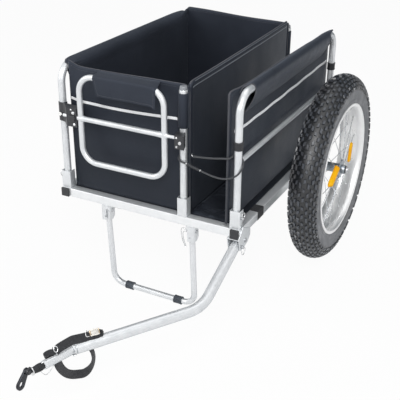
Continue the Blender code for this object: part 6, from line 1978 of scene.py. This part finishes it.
def build_divider():
    """The wall between the wide bay and the long bay, with piping along its top."""
    def drift(u, v):
        return 0.003 * sin(pi * u / DIVIDER_LENGTH) * sin(pi * v / 0.36)

    pad = Pad(place(0.114, 0.0418, GAP), BACKWARD, RIGHT, DIVIDER_LENGTH - 0.0001, 0.365, 0.0118,
              edge=0.008, top=divider_top, drift=drift, seed=3)
    pad.build("divider_wall", FABRIC_SIDE, "panel_divider")
    pad.border("divider_binding", ("left", "top", "right"), 0.0030, 0.006)
    pad.strip("divider_piping", 0.3515, 0.0024, 0.010, 0.640, 0.0006, look=PIPING)
    pad.strip("divider_edge_piping", 0.3625, 0.0014, 0.022, 0.645, 0.0010, look=PIPING)
    pad.stitches("divider_top_seam", 0.3560, 1, 0.020, 0.636)
    pad.stitches("divider_inner_seam", 0.3500, -1, 0.020, 0.636)
    pad.stitches("divider_front_seam", 0.0105, 1, 0.010, 0.335, upright=True)


def side_wall_top(side, back):
    """A side wall's top edge. The right one rises at its front, the left one towards the rear wall."""
    level = 0.3615 - 0.010 * max(0.0, (back - 0.40) / 0.32) ** 1.4
    if side < 0:
        rise = min(1.0, max(0.0, (back - 0.600) / 0.092))
        return level + 0.0245 * rise ** 1.3 + 0.003 * exp(-(back - 0.04) / 0.03)
    front = 0.0065 * exp(-(((back - 0.020) / 0.040) ** 2))
    corner = 0.011 * max(0.0, 1 - (back + 0.003) / 0.018) ** 1.5
    return level + front - corner


def build_side_wall(side, word):
    """A padded side wall, the flap sewn to it that folds over the hoop, the top seam and the tape."""
    from_post = 0.0223 if side < 0 else -0.015
    front = FRONT_POST + from_post
    width = REAR_POST - from_post - front
    low, high = 0.012, 0.362
    height = high - low

    def top(u):
        return side_wall_top(side, front + u) + 0.0005 * sin(u * 26) - low

    pad = Pad(place(side * SIDE_WALL_X, front, low), BACKWARD, RIGHT * side, width, height, 0.0108,
              edge=0.008, top=top, drift=bulge(0.0015, width, height), seed=4 + side)
    pad.build(word + "_wall", FABRIC_SIDE, "panel_" + word)
    if side > 0:
        pad.border(f"{word}_wall_binding", ("left", "top", "right"), 0.0030, 0.006)
    pad.border(f"{word}_wall_foot_binding", ("bottom",), 0.0034, 0.006)
    start = 0.024 if side > 0 else 0.010
    pad.strip(f"{word}_tape", TAPE_HEIGHT - low, 0.0084, start, width - 0.018, 0.0009,
              sag=lambda u: 0.0009 * sin(u * 52) - 0.009 + 0.015 * (u / width) ** 3)
    pad.stitches(f"{word}_wall_foot_seam", 0.010, 1, 0.010, width - 0.01)
    pad.stitches(f"{word}_wall_top_seam", height - 0.0085, -1, 0.020, width - 0.02)
    build_side_flap(side, word)


def build_side_flap(side, word):
    """Fabric from the wall's outer face over the hoop's bar and down outside to the wall again."""
    bar_x, bar_z = POST_X, HOOP_HEIGHT
    rod = POST_RADIUS + 0.0014
    if side > 0:
        profile = [(0.2484, 0.3500), (0.2488, 0.3570), (0.2515, 0.3652)]
    else:
        profile = [(0.2392, 0.3220), (0.2374, 0.3340), (0.2364, 0.3460), (0.2372, 0.3570), (0.2450, 0.3668)]
    profile += over_bar(bar_x, bar_z, rod, (112, 96, 80, 64, 46, 28, 10))
    seam_rows = len(profile) - 10
    low_x, low_z = 0.2490, 0.2930
    first_x, first_z = over_bar(bar_x, bar_z, rod, (-6,))[0]
    for k in range(9):
        share = k / 8
        swell = 0.0060 * sin(pi * share ** 0.8)
        profile.append((first_x + (low_x - first_x) * share + swell, first_z + (low_z - first_z) * share))
    steps = 96
    rows = []
    for i, (x, z) in enumerate(profile):
        row = []
        level = i - seam_rows
        outside = level >= 10
        hang = max(0.0, (level - 9) / 9)
        over = min(1.0, max(0.0, (level - 4) / 4))
        start = 0.052 + 0.036 * min(1.0, max(0.0, (level - 1) / 3)) - 0.009 * hang
        if side < 0:
            start = 0.040 + 0.020 * over
        end = 0.704 - 0.054 * over * over * (3 - 2 * over)
        for j in range(steps + 1):
            y = start + (end - start) * j / steps
            drop = corner_drop(min(max(0.0, FRONT_POST + HOOP_BEND - y), HOOP_BEND * 0.98), HOOP_BEND)
            drop += 0.0045 * max(0.0, (y - 0.640) / 0.064) ** 1.5
            soft = 0.0012 * noise.noise(Vector((y * 16, i * 0.22, 5.0 + side)))
            soft += 0.0006 * noise.noise(Vector((y * 60, i * 0.5, 9.0 + side)))
            row.append(place(side * (x + (abs(soft) if outside else 0.0)), y,
                             z - drop * (1 - 0.7 * hang) + (0 if outside else abs(soft) * 0.4)))
        rows.append(row)
    flap = sheet_between(f"{word}_flap", rows, FLAP_THICKNESS)
    piece(flap, FABRIC_SIDE)
    out = Vector((side * 0.0011, 0, 0))
    hem = [point + out + Vector((0, 0, 0.004)) for point in rows[-1]]
    stitch_along(f"{word}_flap_seam", dense(hem, 0.0055), 0.62)
    for tag, column in (("front", 0), ("rear", -1)):
        line = [row[column] for row in rows[1:]]
        edge = add_tube(f"{word}_flap_{tag}_edge", line, 0.0014, side_way=(0, 1, 0), sides=8)
        piece(edge, BINDING)


def build_floor_fabric():
    """Loose fabric over the floor board of each bay, bunched where the long bay opens to the front."""
    for name, left, right, front, back, amount, nodes in (
            ("main_floor_cloth", -0.2355, 0.1050, 0.044, 0.690, 0.0016, ("floor_cover",)),
            ("long_floor_cloth", 0.1225, 0.2355, 0.0325, 0.700, 0.0046, ())):
        wide, long = (44, 84) if nodes else (30, 130)
        rows = []
        for i in range(long + 1):
            y = front + (back - front) * i / long
            row = []
            for j in range(wide + 1):
                x = left + (right - left) * j / wide
                spot = Vector((x * 14, y * 34, 1.5))
                bunched = 0.4 if nodes else exp(-(((y - front) / 0.22) ** 2))
                folds = abs(noise.noise(spot + Vector((0, noise.noise(spot * 0.4) * 2, 0))))
                fine = noise.noise(Vector((x * 50, y * 70, 3)))
                edge = min(1.0, (x - left) / 0.006, (right - x) / 0.006, (y - front) / 0.004,
                           (back - y) / 0.004)
                lift = amount * (0.35 + 1.3 * bunched * folds * 2 + 0.15 * fine) * max(0.0, edge)
                row.append(place(x, y, 0.0010 + max(0.0, lift)))
            rows.append(row)
        cloth = sheet_between(name, rows, 0.0010)
        piece(cloth, FABRIC_FLOOR, *nodes)


# Stage, lights and camera


def add_board(name, corners, look):
    """A flat sheet of the studio."""
    mesh = bpy.data.meshes.new(name)
    mesh.from_pydata(corners, [], [(0, 1, 2, 3)])
    mesh.materials.append(look.material)
    board = link(name, mesh)
    return board


def build_stage():
    """A pale floor that looks nearly white to the camera, and a dark board that only reflections show."""
    look = Look("pale_floor", (0.86, 0.86, 0.86), 0.9)
    look.paint(look.blend(look.noise(3, 2, 0.5), (0.855, 0.855, 0.858), (0.87, 0.87, 0.868)))
    glow = look.add("Emission", {"Color": (1, 1, 1, 1), "Strength": 1.0})
    share = look.math("MULTIPLY", look.seen_directly(), FLOOR_GLOW)
    lifted = look.add("MixShader", {0: share, 1: look.shader.outputs[0], 2: glow.outputs[0]})
    look.give(look.tree.nodes["Material Output"], {"Surface": lifted.outputs[0]})
    far = FLOOR_SIZE
    corners = ((-far, -far), (far, -far), (far, far), (-far, far))
    add_board("studio_floor", [(x, y, FLOOR_UP) for x, y in corners], look)
    look = Look("dark_flag", (0.12, 0.15, 0.17), 0.8)
    look.paint(look.blend(look.noise(2, 2, 0.5), (0.10, 0.13, 0.15), (0.14, 0.17, 0.19)))
    half, low, high = FLAG_HALF, FLAG_LOW, FLAG_HIGH
    corners = ((-half, low), (half, low), (half, high), (-half, high))
    flag = add_board("studio_flag", [(x, FLAG_BACK, z) for x, z in corners], look)
    flag.visible_camera = False
    flag.visible_diffuse = False
    flag.visible_shadow = False


def build_world():
    """Soft light from all round, brighter near the horizon, and white where it is seen directly."""
    world = bpy.data.worlds.new("studio")
    bpy.context.scene.world = world
    world.use_nodes = True
    world.node_tree.nodes.clear()
    sky = Nodes(world.node_tree)
    height = sky.parts(sky.add("TexCoord").outputs["Generated"])[2]
    strength = sky.between(height, -0.1, 0.9, SKY_LOW, SKY_TOP)
    light = sky.add("Background", {"Color": (0.97, 0.985, 1.0, 1), "Strength": strength})
    white = sky.add("Background", {"Color": (1, 1, 1, 1)})
    mixed = sky.add("MixShader", {0: sky.seen_directly(), 1: light.outputs[0], 2: white.outputs[0]})
    sky.add("OutputWorld", {"Surface": mixed.outputs[0]})


def add_lamp(name, where, size, power):
    """A soft rectangular lamp that points at the trailer."""
    data = bpy.data.lights.new(name, "AREA")
    data.shape = "RECTANGLE"
    data.size, data.size_y = size
    data.energy = power
    lamp = link(name, data)
    lamp.location = where
    lamp.rotation_mode = "QUATERNION"
    lamp.rotation_quaternion = (LAMP_TARGET - Vector(where)).to_track_quat("-Z", "Y")


def build_lights():
    """A key light from the front right, a fill from the left and a faint one above."""
    add_lamp("key_softbox", (1.45, -2.5, 2.8), (1.6, 1.6), 96)
    add_lamp("left_softbox", (-2.6, -1.8, 2.0), (1.4, 2.0), 34)
    add_lamp("top_softbox", (0.4, 1.0, 3.4), (2.0, 1.4), 9)


def build_camera():
    """The photograph's view, worked out from the box's edges and the wheel."""
    azimuth, elevation, roll = CAMERA_AZIMUTH, CAMERA_ELEVATION, CAMERA_ROLL
    ahead = Vector((-sin(azimuth) * cos(elevation), cos(azimuth) * cos(elevation), -sin(elevation)))
    right = Vector((cos(azimuth), sin(azimuth), 0.0))
    up = right.cross(ahead)
    right, up = right * cos(roll) + up * sin(roll), up * cos(roll) - right * sin(roll)
    data = bpy.data.cameras.new("camera")
    data.sensor_width = CAMERA_SENSOR
    data.lens = CAMERA_LENS
    data.shift_x, data.shift_y = CAMERA_SHIFT_X, CAMERA_SHIFT_Y
    data.clip_start, data.clip_end = 0.05, 100.0
    camera = link("camera", data)
    turn = Matrix((right, up, -ahead)).transposed()
    camera.matrix_world = Matrix.Translation(CAMERA_PLACE) @ turn.to_4x4()
    bpy.context.scene.camera = camera


build_camera()
build_world()
build_lights()
build_stage()
build_base()
build_posts()
build_support_frame()
build_clamps()
build_bungee()
build_stand()
build_arm_bracket()
build_arm()
for side, word in ((-1, "left"), (1, "right")):
    build_wheel(side, word)
    build_side_wall(side, word)
build_front_panel()
build_rear_panel()
build_divider()
build_floor_fabric()

bpy.context.scene.view_settings.view_transform = "Standard"
